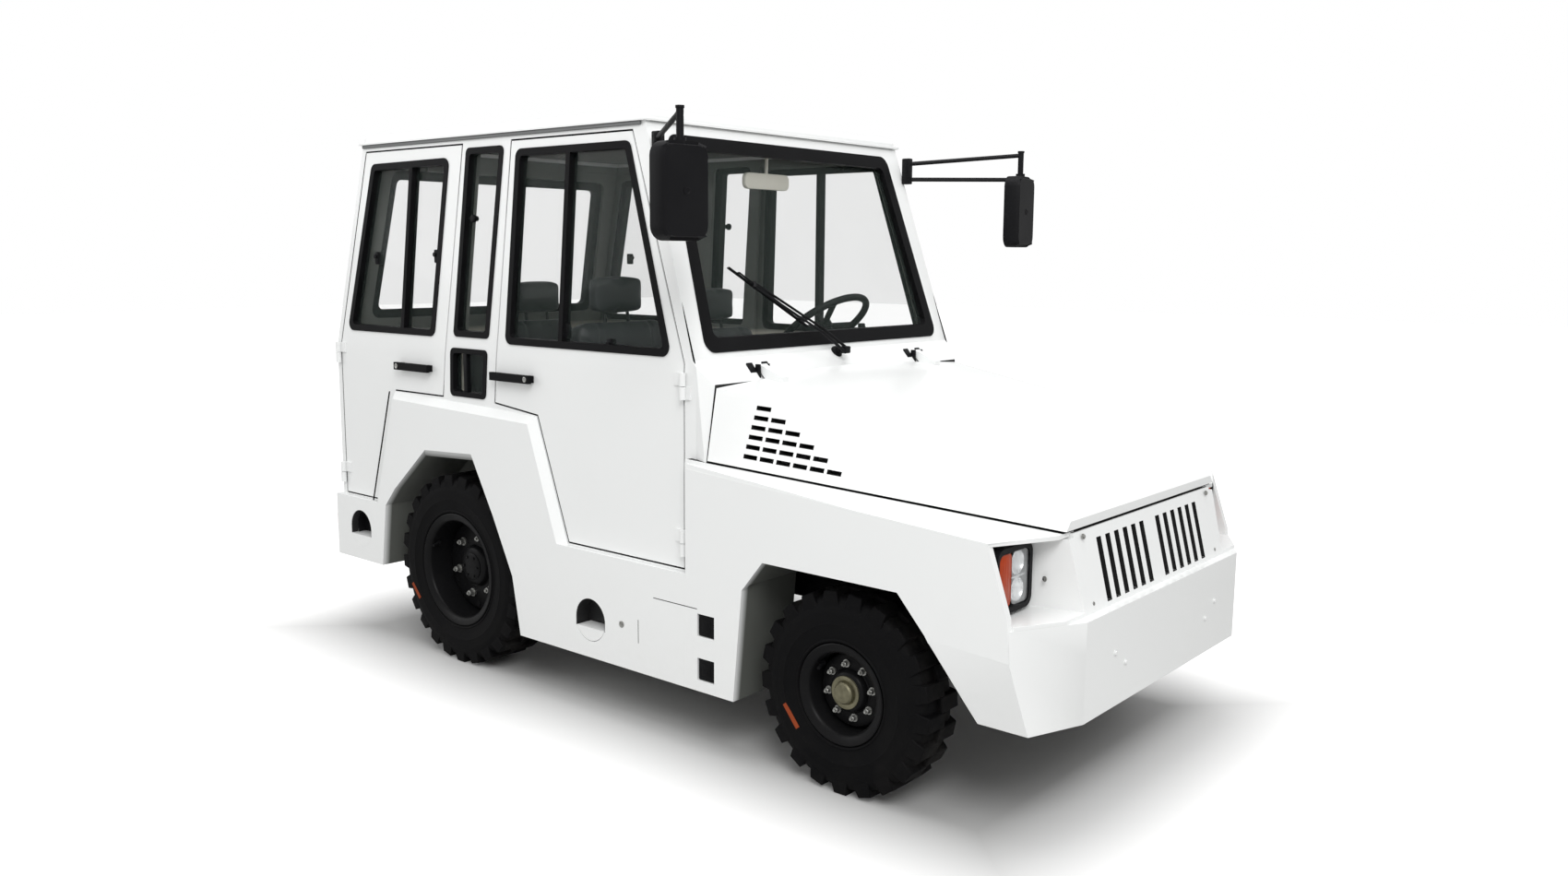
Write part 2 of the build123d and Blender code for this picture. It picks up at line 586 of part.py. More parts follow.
# Outlines seen from the side, x and z
door_top = gutter - 29
door_bottom = sill_top + 8
rear_door_back = cab_rear + 30
front_door = [(rear_axle + 347, door_top), (rear_axle + 265, flare_high + door_gap),
              (flare[2][0] + 4, flare_low + door_gap), (flare[3][0] + 4, door_bottom),
              (pillar_front, door_bottom), (pillar_front, belt + 36), (lean_front(door_top) - 24, door_top)]
rear_door = [(rear_door_back, door_bottom), (flare[0][0] - 6, door_bottom),
             (flare[1][0] - 2, flare_high + door_gap), (rear_axle - 45, flare_high + door_gap),
             (rear_axle + 68, door_top),
             (rear_door_back + back_lean * 0.962, door_top), (rear_door_back, belt)]
window_low, window_high = belt + 53, gutter - 56
front_window = [(rear_axle + 327, window_low), (rear_axle + 373, window_high),
                (lean_front(window_high) - 40, window_high), (lean_front(window_low) - 46, window_low)]
rear_window = [(rear_door_back + 52, belt + 60), (rear_door_back + 218, gutter - 72),
               (rear_axle - 4, gutter - 68), (rear_axle - 86, belt + 60)]
pillar_window = [(rear_axle + 30, belt + 66), (rear_axle + 97, gutter - 40), (rear_axle + 307, gutter - 40),
                 (rear_axle + 234, belt + 66)]
pillar_pane = [(rear_axle + 6, flare_high + 10), (rear_axle + 14, belt + 26), (rear_axle + 229, belt + 26),
               (rear_axle + 212, flare_high + 10)]
# Outlines seen from the front, y and z
windscreen = [(-cab_half + 64, belt + 66), (-roof_half + 79, gutter - 34), (roof_half - 79, gutter - 34),
              (cab_half - 64, belt + 66)]
back_light = [(-cab_half + 110, belt + 100), (-roof_half + 110, gutter - 84), (roof_half - 110, gutter - 84),
              (cab_half - 110, belt + 100)]
screen_x = (cab_front - windscreen_lean - cab_wall, cab_front + cab_wall)
back_x = (cab_rear - cab_wall, cab_rear + back_lean + 2 * cab_wall)
window_corner, screen_corner = 30, 40


def side_prism(points):
    """Side view outline through the whole wall of the left side."""
    return side_slab(points, roof_half - 255, cab_half + 210)


def side_cut(points, radius=window_corner):
    return rounded(side_prism(points), Axis.Y, radius)


def front_cut(points, x0, x1, radius=screen_corner):
    return rounded(front_slab(points, x0, x1), Axis.X, radius)


def inset(points, amount):
    return grown(points, -amount)


cab = outer - cab_volume(cab_wall, cab_wall, sill_top - 10, gutter + 20)
rebate = cab_volume(-20, 0) - cab_volume(door_wall + rebate_gap, -50, sill_top - 60, gutter + 40)
for outline in (front_door, rear_door):
    wide = side_prism(grown(outline, door_gap))
    through = side_prism(inset(outline, door_lip))
    cutter = (rebate & wide) + through
    cab = cab - cutter - other(cutter)
for outline in (pillar_window, pillar_pane):
    cut = side_cut(outline, 20)
    cab = cab - cut - other(cut)
cab -= front_cut(windscreen, *screen_x)
cab -= front_cut(back_light, *back_x)
arch_room = side_slab(grown([(rear_arch[0][0], 250), *rear_arch[:-1], (rear_arch[-1][0], 250)], arch_band),
                      wheelhouse_y, body_half)
cab = cab - arch_room - other(arch_room)
save(cab, "cab_frame")


def on_side(prism, near, far):
    """What of a side prism lies from near to far inside the cab's side planes."""
    return (cab_volume(near, 0) & prism) - cab_volume(far, -100, sill_top - 50, gutter + 50)


def on_end(prism, near, far):
    """What of a front or back prism lies from near to far inside the cab's end planes."""
    return (cab_volume(0, near) & prism) - cab_volume(-100, far, sill_top - 50, gutter + 50)


trim_depth = (-4, 30)
glass_depth = (14, 14 + glass)
trim_width = 24
bar_half = 10
hinge_out = 12
hinge_heights = (sill_top + 88, belt - 30)
handle_z = belt - 58
front_hinge_x = pillar_front + 8
rear_hinge_x = rear_door_back - 6


def divider(low_x, high_x):
    """Upright bar from the belt to the gutter, seen from the side."""
    return side_prism([(low_x - bar_half, belt), (high_x - bar_half, gutter),
                       (high_x + bar_half, gutter), (low_x + bar_half, belt)])


def door_parts(outline, window, hinge_x, hinge_side, handle_x, bar):
    """Panel, black window frame with its divider and handle, and glass of a left door."""
    panel = on_side(side_prism(outline), 0, door_wall)
    panel -= side_cut(window)
    for z in hinge_heights:
        panel += rod((hinge_x, cab_half + hinge_out, z + 1), (hinge_x, cab_half + hinge_out, z + 40), 10)
        panel += box(tuple(sorted((hinge_x, hinge_x + hinge_side * 40))), (cab_half, cab_half + 5),
                     (z + 1, z + 40))
    frame = on_side(side_cut(window), *trim_depth) - side_cut(inset(window, trim_width), 14)
    frame += on_side(side_cut(inset(window, 4), 14), *trim_depth) & divider(*bar)
    handle = box((handle_x - 105, handle_x + 105), (cab_half + 16, cab_half + 30),
                 (handle_z - 14, handle_z + 14))
    for x in (handle_x - 88, handle_x + 88):
        handle += box((x - 12, x + 12), (cab_half, cab_half + 20), (handle_z - 12, handle_z + 12))
    pane = on_side(side_cut(inset(window, trim_width), 14), *glass_depth) - divider(*bar)
    return panel, Compound(children=[*frame.solids(), *handle.solids()]), pane


doors = {
    "front": door_parts(front_door, front_window, front_hinge_x, -1, rear_axle + 378,
                        (rear_axle + 613, rear_axle + 644)),
    "rear": door_parts(rear_door, rear_window, rear_hinge_x, 1, rear_axle - 204,
                       (rear_axle - 296, rear_axle - 229)),
}
for place, (panel, frame, pane) in doors.items():
    for side, turn in (("left", lambda s: s), ("right", other)):
        save(turn(panel), f"door_{place}_{side}")
        save(turn(frame), f"door_frame_{place}_{side}")
        save(turn(pane), f"door_glass_{place}_{side}")

# Fixed windows
seals, panes = [], []
for outline, width in ((pillar_window, 22), (pillar_pane, 18)):
    ring = on_side(side_cut(outline, 20), *trim_depth) - side_cut(inset(outline, width), 12)
    pane = on_side(side_cut(inset(outline, width), 12), *glass_depth)
    seals += both(ring).solids()
    panes += both(pane).solids()
for outline, (x0, x1), width in ((windscreen, screen_x, 44), (back_light, back_x, 34)):
    hole = inset(outline, width)
    ring = on_end(front_cut(outline, x0, x1), *trim_depth) - front_cut(hole, x0 - 5, x1 + 5, 24)
    seals += ring.solids()
    panes += on_end(front_cut(hole, x0, x1, 24), *glass_depth).solids()
save(Compound(children=seals), "window_seals")
save(Compound(children=panes), "fixed_glass")

# Roof slab with a gutter lip
roof_front, roof_rear = cab_front - windscreen_lean, cab_rear + back_lean
roof = box((roof_rear - 4, roof_front + 4), (-roof_half - 4, roof_half + 4), (gutter, gutter + roof_height))
roof = fillet(roof.edges().filter_by(Axis.Z), 30)
roof = fillet(roof.faces().sort_by(Axis.Z)[-1].edges(), 22)
roof += box((roof_rear - 14, roof_front + 10), (-roof_half - 12, roof_half + 12), (gutter, gutter + 7))
save(roof, "roof_panel")

# Scuttle between windscreen and bonnet
cowl_back, cowl_low = hood_back - 6, ledge_back_z - 7
cowl = ruled([
    [(x, -half, cowl_low), (x, half, cowl_low), (x, top_half, top), (x, -top_half, top)]
    for x, half, top_half, top in (
        (cab_front - 28, cab_half, cab_half, belt + 62), (cab_front, cab_half, cab_half, belt + 31),
        (cowl_back, bonnet_back_half, bonnet_back_half - 42, belt - 22))])
cowl = cowl - outer - fender - other(fender)
save(cowl, "cowl_panel")

# Cab floor
floor_z = sill_top + 8
floor = box((cab_rear + cab_wall, dash_front), (-cab_half + cab_wall, cab_half - cab_wall),
            (sill_top, floor_z))
floor = floor - arch_room - other(arch_room)
save(floor, "cab_floor")

# Seats: headrest x, y and middle height; the back leans, and the cushion lies below it
seat_lean, head_height = 10, 132
cushion_length, cushion_width, cushion_depth, back_depth = 470, 460, 90, 90


def make_seat(head_x, y, head_z, width=cushion_width):
    cushion_top = head_z - 490
    shoulder = head_z - head_height / 2 - 8
    rise = shoulder - cushion_top
    foot_x = head_x + rise * math.tan(math.radians(seat_lean))
    cushion = box((foot_x - 20, foot_x - 20 + cushion_length), (y - width / 2, y + width / 2),
                  (cushion_top - cushion_depth, cushion_top))
    back = Pos(foot_x, y, cushion_top - 6) * Rot(0, -seat_lean, 0) * Box(
        back_depth, width, rise + 6, align=(Align.CENTER, Align.CENTER, Align.MIN))
    head = Pos(head_x - 6, y, head_z) * chamfer(Box(64, 230, head_height).edges(), 18)
    neck = box((head_x - 20, head_x + 8), (y - 60, y + 60), (shoulder - 20, head_z - head_height / 2 + 10))
    base = box((foot_x + 10, foot_x + cushion_length - 80), (y - width / 2 + 50, y + width / 2 - 50),
               (floor_z, cushion_top - cushion_depth))
    return chamfer(cushion.edges(), 20) + chamfer(back.edges(), 20) + neck + head + base


driver_y = 330
front_seats = [make_seat(cab_front - 898, driver_y, belt + 165), make_seat(cab_front - 772, -300, belt + 218)]
bench_x, bench_top, bench_width = cab_rear + 388, belt + 183 - 490, 2 * wheelhouse_y - 20
bench = make_seat(bench_x, 0, belt + 183, 360)
wing_back = Pos(bench_x + 58, 0, bench_top - 6) * Rot(0, -seat_lean, 0) * Box(
    back_depth - 20, bench_width, 330, align=(Align.CENTER, Align.CENTER, Align.MIN))
wing_cushion = box((bench_x + 60, bench_x + 40 + cushion_length), (-bench_width / 2, bench_width / 2),
                   (bench_top - 60, bench_top - 8))
bench = bench + chamfer(wing_back.edges(), 16) + chamfer(wing_cushion.edges(), 16)
save(Compound(children=[s for seat in (*front_seats, bench) for s in seat.solids()]), "seats")

# Dashboard, column and steering wheel
dash = side_slab([(dash_front, belt - 250), (dash_front - 150, belt - 190), (dash_front - 190, belt - 70),
                  (dash_front - 120, belt - 20), (dash_front, belt - 10)],
                 -cab_half + cab_wall + 10, cab_half - cab_wall - 10)
wheel_tilt = math.radians(38)
steering_plane = Plane(origin=(dash_front - 243, driver_y - 30, belt + 102),
                       x_dir=(math.cos(wheel_tilt), 0, math.sin(wheel_tilt)),
                       z_dir=(-math.sin(wheel_tilt), 0, math.cos(wheel_tilt)))
wheel = steering_plane * Torus(180, 13)
wheel += steering_plane * Cylinder(34, 30)
for turn in (90, 210, 330):
    wheel += steering_plane * Rot(0, 0, turn) * Pos(95, 0, 0) * Box(170, 22, 10)
wheel += steering_plane * Cylinder(26, 300, align=(Align.CENTER, Align.CENTER, Align.MAX))
save(dash + wheel, "dashboard")

# Door mirrors on tube arms from the windscreen pillars
arm_x, arm_y = cab_front - 181, roof_half + 9
mirror_x, mirror_y, mirror_z = cab_front + 156, cab_half + 220, gutter - 234
housing = rounded(Box(60, 160, 265), Axis.X, 42)
housing = chamfer(housing.faces().sort_by(Axis.X)[-1].edges(), 14)
mirrors = Pos(mirror_x, mirror_y, mirror_z) * Rot(0, 0, 8) * housing
for root_z, end_z in ((gutter - 56, gutter - 24), (gutter - 114, gutter - 114)):
    mirrors += rod((arm_x, arm_y, root_z), (mirror_x, mirror_y, end_z), 8)
mirrors += rod((mirror_x, mirror_y, mirror_z + 20), (mirror_x, mirror_y, gutter - 11), 11)
mirrors += box((arm_x - 26, arm_x + 14), (arm_y - 22, arm_y + 10), (gutter - 134, gutter - 34))
mirrors -= outer
save(both(mirrors), "mirrors")

# Wiper: arm and blade from a pivot on the scuttle, lying on the windscreen
pivot_y, wiper_z = 0, belt + 36
tip_x, tip_y, tip_z = cab_front - windscreen_lean * 0.42 + 24, -452, gutter - 442
post_x = cab_front - 14
wiper = rod((post_x - 6, pivot_y, wiper_z - 10), (post_x + 14, pivot_y, wiper_z + 10), 22)
wiper += rod((post_x + 16, pivot_y, wiper_z + 6),
             (tip_x + 8, tip_y * 0.78, wiper_z + (tip_z - wiper_z) * 0.78), 7)
wiper += rod((post_x - 8, tip_y * 0.3, wiper_z + (tip_z - wiper_z) * 0.42), (tip_x, tip_y, tip_z), 7)
wiper -= cab_volume(-4, -4)
wiper -= cowl
save(wiper, "wiper")

# Lamps
lamp_y, lamp_z, lamp_width, lamp_height = body_half - 114, bumper_top + 106, 176, 172
bezel = box((alcove_back, alcove_back + 40), (lamp_y - lamp_width / 2, lamp_y + lamp_width / 2),
            (lamp_z - lamp_height / 2, lamp_z + lamp_height / 2))
bezel = rounded(bezel, Axis.X, 30)
lens_room = box((alcove_back + 10, alcove_back + 60),
                (lamp_y - lamp_width / 2 + 14, lamp_y + lamp_width / 2 - 10),
                (lamp_z - lamp_height / 2 + 14, lamp_z + lamp_height / 2 - 14))
lens_room = rounded(lens_room, Axis.X, 20)
save(both(bezel - lens_room), "lamp_bezels")
split_y = lamp_y + 8
clear_lens = lens_room & box((alcove_back + 10, alcove_back + 36), (0, split_y - 2), (500, 900))
amber_lens = lens_room & box((alcove_back + 10, alcove_back + 36), (split_y + 2, 900), (500, 900))
save(both(clear_lens), "headlamp_lenses")
save(both(amber_lens), "turn_lenses")
tail = rounded(box((rear_x - 26, rear_x), (cab_half - 170, cab_half - 50), (sill_top - 112, sill_top - 32)),
               Axis.X, 12)
save(both(tail), "tail_lamps")

# Rear apron and tow hitch
apron = box((rear_x, rear_x + side_plate), (-cab_half, cab_half), (quarter_bottom, sill_top))
save(apron, "rear_apron")
hitch_bore, hitch_pin_x = 18, rear_x - hitch_reach + 46
hitch = box((rear_x - 20, rear_x), (-110, 110), (300, 520))
for z in (330, 400, 470):
    plate = box((hitch_pin_x, rear_x - 19), (-55, 55), (z - 10, z + 10))
    plate += Pos(hitch_pin_x, 0, z) * Cylinder(46, 20)
    hitch += plate & box((rear_x - hitch_reach, rear_x), (-60, 60), (250, 520))
hitch -= Pos(hitch_pin_x, 0, 400) * Cylinder(hitch_bore, 400)
save(hitch, "tow_hitch")

# Bonnet hinge brackets on the scuttle, and the frame's halves of the door hinges
brackets = []
for y in (strap_y - 24, strap_y + 19):
    ear = side_slab([(pivot_x - 14, belt - 50), (pivot_x + 12, belt - 50), (pivot_x + 9, pivot_z + 10),
                     (pivot_x - 9, pivot_z + 10)], y, y + 5)
    brackets.append(ear)
hinge_pin = rod((pivot_x, strap_y - 24, pivot_z), (pivot_x, strap_y + 24, pivot_z), 5)
bracket = brackets[0] + brackets[1] + hinge_pin
for side in (-1, 1):
    bracket += side_slab([(x, z + lift) for x, z, lift in (
        (cab_front + 6, belt + 24, 0), (pivot_x - 4, belt - 2, 0), (pivot_x - 4, belt - 2, 6),
        (cab_front + 6, belt + 24, 6))],
        strap_y + side * 22, strap_y + side * 50)
bracket -= cowl
save(both(bracket), "bonnet_hinges")
knuckles = []
for hinge_x, reach in ((front_hinge_x, 24), (rear_hinge_x, -18)):
    for z in hinge_heights:
        barrel = rod((hinge_x, cab_half + hinge_out, z - 40), (hinge_x, cab_half + hinge_out, z - 1), 10)
        barrel += box(tuple(sorted((hinge_x, hinge_x + reach))), (cab_half, cab_half + 5), (z - 40, z - 1))
        knuckles += both(barrel).solids()
save(Compound(children=knuckles), "door_hinges")
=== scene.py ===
import bmesh
import bpy
import json
import math
from mathutils import Matrix, Vector


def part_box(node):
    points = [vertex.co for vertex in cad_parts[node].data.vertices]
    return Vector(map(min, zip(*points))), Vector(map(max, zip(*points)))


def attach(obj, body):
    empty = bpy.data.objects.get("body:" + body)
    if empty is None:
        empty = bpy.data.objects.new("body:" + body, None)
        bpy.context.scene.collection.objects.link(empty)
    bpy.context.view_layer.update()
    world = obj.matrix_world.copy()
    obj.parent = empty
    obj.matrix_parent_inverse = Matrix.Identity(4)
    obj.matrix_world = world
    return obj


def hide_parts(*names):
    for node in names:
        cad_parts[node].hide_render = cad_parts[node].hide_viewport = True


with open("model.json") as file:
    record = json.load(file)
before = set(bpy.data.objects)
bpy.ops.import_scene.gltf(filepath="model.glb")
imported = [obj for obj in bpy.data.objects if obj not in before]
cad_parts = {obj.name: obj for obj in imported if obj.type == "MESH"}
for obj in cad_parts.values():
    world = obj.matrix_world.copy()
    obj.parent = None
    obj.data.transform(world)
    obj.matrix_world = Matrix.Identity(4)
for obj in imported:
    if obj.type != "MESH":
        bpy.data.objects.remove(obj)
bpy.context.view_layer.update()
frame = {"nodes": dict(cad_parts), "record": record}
nodes = frame["nodes"]
record = frame["record"]
nodeBody = {node: body for body, group in record["behaviour"]["bodies"].items() for node in group}
nodeSlot = {part["node"]: part["material_slot"] for part in record["subparts"]}
sides = {"left": 1, "right": -1}
doorNames = [f"{place}_{side}" for place in ("front", "rear") for side in sides]
print("frame loaded", len(nodes), "nodes")


def link(name, data):
    made = bpy.data.objects.new(name, data)
    bpy.context.scene.collection.objects.link(made)
    return made


# Camera, fitted to the picture: place in metres, angles in degrees
cameraFit = {
    "place": (3.051, -3.364, 1.509), "azimuth": 40.079, "pitch": -8.261, "roll": 0.397, "lens": 28.80,
    "sensor": 36.0,
}


def makeCamera(fit):
    turn, pitch, roll = (math.radians(fit[angle]) for angle in ("azimuth", "pitch", "roll"))
    forward = Vector((-math.sin(turn) * math.cos(pitch), math.cos(turn) * math.cos(pitch), math.sin(pitch)))
    level = Vector((math.cos(turn), math.sin(turn), 0))
    up = level.cross(forward)
    across = math.cos(roll) * level + math.sin(roll) * up
    over = -math.sin(roll) * level + math.cos(roll) * up
    data = bpy.data.cameras.new("camera")
    data.lens = fit["lens"]
    data.sensor_width = fit["sensor"]
    camera = link("camera", data)
    axes = Matrix((across, over, -forward)).transposed()
    camera.matrix_world = Matrix.Translation(fit["place"]) @ axes.to_4x4()
    bpy.context.scene.camera = camera


makeCamera(cameraFit)


class Value:
    # One shader socket, so that sums of values can be written as sums
    def __init__(self, paint, socket):
        self.paint = paint
        self.socket = socket

    def maths(self, operation, *values):
        return self.paint.node("ShaderNodeMath", dict(enumerate(values)), operation=operation)

    def __add__(self, value):
        return self.maths("ADD", self, value)

    def __sub__(self, value):
        return self.maths("SUBTRACT", self, value)

    def __rsub__(self, value):
        return self.maths("SUBTRACT", value, self)

    def __mul__(self, value):
        return self.maths("MULTIPLY", self, value)

    def above(self, limit):
        return self.maths("GREATER_THAN", self, limit)

    def below(self, limit):
        return self.maths("LESS_THAN", self, limit)

    def between(self, low, high):
        return self.above(low) * self.below(high)

    def size(self):
        return self.maths("ABSOLUTE", self)

    def either(self, value):
        return self.maths("MAXIMUM", self, value)

    __radd__ = __add__


class Paint:
    # One material, its nodes made by one method
    def __init__(self, name, **settings):
        self.material = bpy.data.materials.new(name)
        self.material.use_nodes = True
        self.tree = self.material.node_tree
        self.shader = self.tree.nodes["Principled BSDF"]
        for socket, value in settings.items():
            self.shader.inputs[socket.replace("_", " ")].default_value = value

    def node(self, kind, sockets=None, out=0, **settings):
        made = self.tree.nodes.new(kind)
        for key, value in settings.items():
            setattr(made, key, value)
        for key, value in (sockets or {}).items():
            if isinstance(value, Value):
                self.tree.links.new(value.socket, made.inputs[key])
            else:
                made.inputs[key].default_value = value
        return Value(self, made.outputs[out])

    def feed(self, socket, value):
        self.tree.links.new(value.socket, self.shader.inputs[socket])

    def place(self):
        return self.node("ShaderNodeTexCoord", out="Object")

    def noise(self, scale, detail=4.0, rough=0.55):
        return self.node("ShaderNodeTexNoise", {"Vector": self.place(), "Scale": scale, "Detail": detail,
                                                "Roughness": rough})

    def cells(self, scale, feature="F1"):
        return self.node("ShaderNodeTexVoronoi", {"Vector": self.place(), "Scale": scale}, feature=feature)

    def grazing(self, blend):
        return self.node("ShaderNodeLayerWeight", {"Blend": blend}, out="Fresnel")

    def axes(self, kind="Object"):
        # The three parts of the place on the piece, or of its own surface direction
        whole = self.node("ShaderNodeTexCoord", out=kind)
        split = self.node("ShaderNodeSeparateXYZ", {0: whole}).socket.node
        return [Value(self, split.outputs[index]) for index in range(3)]

    def ramp(self, value, low, high):
        return self.node("ShaderNodeMapRange", {0: value, 1: low, 2: high, 3: 0.0, 4: 1.0}, clamp=True)

    def mix(self, share, one, two):
        return self.node("ShaderNodeMix", {0: share, 6: one, 7: two}, out=2, data_type="RGBA")

    def bump(self, value, strength, distance):
        self.feed("Normal", self.node("ShaderNodeBump", {"Height": value, "Strength": strength,
                                                         "Distance": distance}))


def rgb(colour, level=1.0):
    return (*[part * level for part in colour], 1.0)


# Dusted paints: colours, how high the dust reaches and its share, roughness, coat, reflection and grain
finishes = {
    "white": {"colour": (0.80, 0.81, 0.805), "dust": (0.56, 0.53, 0.48), "dustTop": 0.60, "dustShare": 0.16,
              "rough": 0.34, "coat": 0.22, "shine": 0.5, "grain": (260.0, 2.0, 0.5), "bump": 0.06},
    "black": {"colour": (0.007, 0.007, 0.008), "dust": (0.08, 0.076, 0.07), "dustTop": 0.6, "dustShare": 0.22,
              "rough": 0.42, "coat": 0.0, "shine": 0.12, "grain": (330.0, 3.0, 0.6), "bump": 0.12},
    "rim": {"colour": (0.005, 0.005, 0.0055), "dust": (0.06, 0.057, 0.052), "dustTop": 0.5, "dustShare": 0.10,
            "rough": 0.36, "coat": 0.0, "shine": 0.10, "grain": (330.0, 3.0, 0.6), "bump": 0.12},
}
# Tints: under is painted shade for the insides of the wheel arches; the rubber black also paints shade into
# gaps
tints = {
    "pale": (0.62, 0.60, 0.52), "grey": (0.135, 0.140, 0.128), "under": (0.100, 0.105, 0.095),
    "rubberAndShade": (0.0045, 0.0045, 0.005), "wornRubber": (0.00765, 0.00765, 0.0085),
    "tyre": (0.0030, 0.0030, 0.0034), "tyreDust": (0.045, 0.042, 0.038), "glass": (0.075, 0.100, 0.088),
}

# Cab planes and the bonnet's edge, which the painted shade in the shut lines and gaps follows: metres, and
# metres per metre
cab = {
    "half": 0.690, "sideLean": 0.0458, "front": 0.458, "frontLean": 0.322, "rear": -1.523, "backLean": 0.2435,
    "belt": 1.150, "gutter": 1.914, "sill": 0.552, "sheet": 0.013, "trimTop": (1.185, 1.205),
}
gapShade = {
    "lip": 0.005, "reach": 0.046, "bonnetBack": 0.511, "bonnetHalf": 0.700, "bonnetTaper": 0.2006,
    "louvreFrom": 0.60, "louvreTo": 0.97, "slotHalf": 0.345,
}


def cabDepths(paint):
    # How far inside the side, front and rear planes of the cab
    x, y, z = paint.axes()
    rise = (z - cab["belt"]).either(0.0)
    return (cab["half"] - rise * cab["sideLean"] - y.size(), cab["front"] - rise * cab["frontLean"] - x,
            x - (cab["rear"] + rise * cab["backLean"]))


def doorGapShade(paint):
    # Painted shade: the walls of the gaps round the doors are black below the edge of the sheet, where shade
    # falls
    depth, ahead, behind = cabDepths(paint)
    height = paint.axes()[2].between(cab["sill"] + 0.004, cab["gutter"] - 0.012)
    room = ahead.above(0.02) * behind.above(0.02) * height
    return depth.between(gapShade["lip"], gapShade["reach"]) * room * paint.axes("Normal")[1].size().below(0.6)


def cabInside(paint):
    # What lies deeper than the sheet of the cab is trimmed: pale below the windows, grey above
    z = paint.axes()[2]
    share = z.below(cab["gutter"] - 0.014)
    for depth in cabDepths(paint):
        share = share * depth.above(cab["sheet"])
    return share, paint.mix(paint.ramp(z, *cab["trimTop"]), rgb(tints["pale"]), rgb(tints["grey"]))


def roofInside(paint):
    share = paint.axes("Normal")[2].below(-0.8) * paint.axes()[1].size().below(0.640)
    return share, rgb(tints["grey"])


def paintedArchShade(paint, first, last, top):
    # Painted shade in a wheel arch: dark grey from just behind its lip
    x, y, z = paint.axes()
    wall = paint.ramp(y.size(), 0.714, 0.690) * paint.axes("Normal")[1].size().below(0.75)
    return wall.either(y.size().below(0.66)) * x.between(first, last) * z.below(top), rgb(tints["under"])


def rearArchShade(paint):
    return paintedArchShade(paint, -1.270, -0.330, 0.800)


def frontArchShade(paint):
    return paintedArchShade(paint, 0.445, 1.300, 0.660)


def bonnetGapShade(paint):
    # Painted shade: the lower and rear edges and the walls of the louvres are black, where shade falls
    x, y, z = paint.axes()
    nx, ny, nz = paint.axes("Normal")
    rim = nz.below(-0.6) * y.size().above(0.40)
    back = nx.below(-0.8) * x.below(gapShade["bonnetBack"] + 0.05)
    louvre = x.between(gapShade["louvreFrom"], gapShade["louvreTo"]) * z.below(1.08) * y.size().above(0.56)
    return rim.either(back).either(louvre * ny.size().below(0.45))


def fenderGapShade(paint):
    # Painted shadow: black on the ledge that the bonnet's edge lies over
    x, y, z = paint.axes()
    edge = gapShade["bonnetHalf"] - (x - gapShade["bonnetBack"]) * gapShade["bonnetTaper"] - 0.002
    return (edge - y.size()).above(0.0) * z.above(0.78) * paint.axes("Normal")[2].above(0.5)


def noseGapShade(paint):
    # Painted shade: black on the walls of the grille slots, and painted shadow on the ledge under the
    # bonnet's lip
    x, y, z = paint.axes()
    ny, nz = paint.axes("Normal")[1:]
    slot = ny.size().either(nz.size()).above(0.9) * y.size().below(gapShade["slotHalf"]) * z.between(0.602, 0.778)
    return slot.either(nz.above(0.8) * z.above(0.80) * x.below(1.574))


# Painted shade: the cowl's front face in the gap behind the bonnet is black
def cowlGapShade(paint):
    return paint.axes("Normal")[0].above(0.9) * paint.axes()[0].above(0.495)


def scoopShade(paint):
    # Painted shade: the step scoops are black inside, apart from their floors, where shade falls in the
    # pockets
    x, y, z = paint.axes()
    front = (x - 0.001).size().below(0.074)
    back = (x + 1.358).size().below(0.074) * z.above(0.395)
    floors = paint.axes("Normal")[2].below(0.5)
    return front.either(back) * z.between(0.285, 0.510) * y.size().between(0.655, 0.7175) * floors


def dustedAndShadedPaint(name, finish, seams=None, liningOrArchShade=None):
    # Paint with dust low down; the painted shade says where it is black in gaps, slots and hollows, a lining
    # where it has another colour: the cab's trim, or painted shade in the wheel arches
    paint = Paint(name, Coat_Weight=finish["coat"], Coat_Roughness=0.08, Specular_IOR_Level=finish["shine"])
    low = paint.ramp(paint.axes()[2], finish["dustTop"], 0.12)
    patches = paint.ramp(paint.noise(3.1, 8.0, 0.62), 0.42, 0.78)
    specks = paint.ramp(paint.noise(46.0, 3.0, 0.6), 0.45, 0.75)
    dust = low * (0.25 + patches * 0.75) * (0.5 + specks * 0.5) * finish["dustShare"]
    tone = paint.mix(paint.noise(0.9, 3.0), rgb(finish["colour"], 0.985), rgb(finish["colour"], 1.015))
    shade = paint.mix(dust, tone, rgb(finish["dust"]))
    rough = finish["rough"] + patches * 0.06 + dust * 0.5
    # The lining is the cab's trim colour, or painted shade in the wheel arches
    if liningOrArchShade:
        inner, colour = liningOrArchShade(paint)
        shade = paint.mix(inner, shade, colour)
        rough = rough + inner * 0.25
    # Painted shade: black in gaps, slots and hollows, where shade falls
    if seams:
        gap = seams(paint)
        shade = paint.mix(gap, shade, rgb(tints["rubberAndShade"]))
        rough = rough + gap * 0.35
    paint.feed("Base Color", shade)
    paint.feed("Roughness", rough)
    paint.bump(paint.noise(*finish["grain"]), finish["bump"], 0.0006)
    return paint.material


def wornSurface(name, colours, wear, rough, grain=None, bump=(0.0, 0.0), **settings):
    # Two colours mixed by a noise of wear from its start on, which also adds to the roughness
    paint = Paint(name, **settings)
    scale, detail, fine, start = wear
    share = paint.ramp(paint.noise(scale, detail, fine), start, 0.8)
    paint.feed("Base Color", paint.mix(share, *[rgb(colour) for colour in colours]))
    paint.feed("Roughness", rough[0] + share * rough[1])
    if grain:
        paint.bump(grain(paint), *bump)
    return paint.material


def plastic(name, dark, pale, roughness):
    return wornSurface(name, (dark, pale), (5.0, 5.0, 0.55, 0.3), (roughness, 0.14),
                       lambda paint: paint.cells(900.0), (0.10, 0.0003), Specular_IOR_Level=0.10)


def metal(name, colour, roughness, worn=0.5):
    return wornSurface(name, (colour, [worn * part for part in colour]), (40.0, 5.0, 0.55, 0.3),
                       (roughness, 0.25), Metallic=0.9)


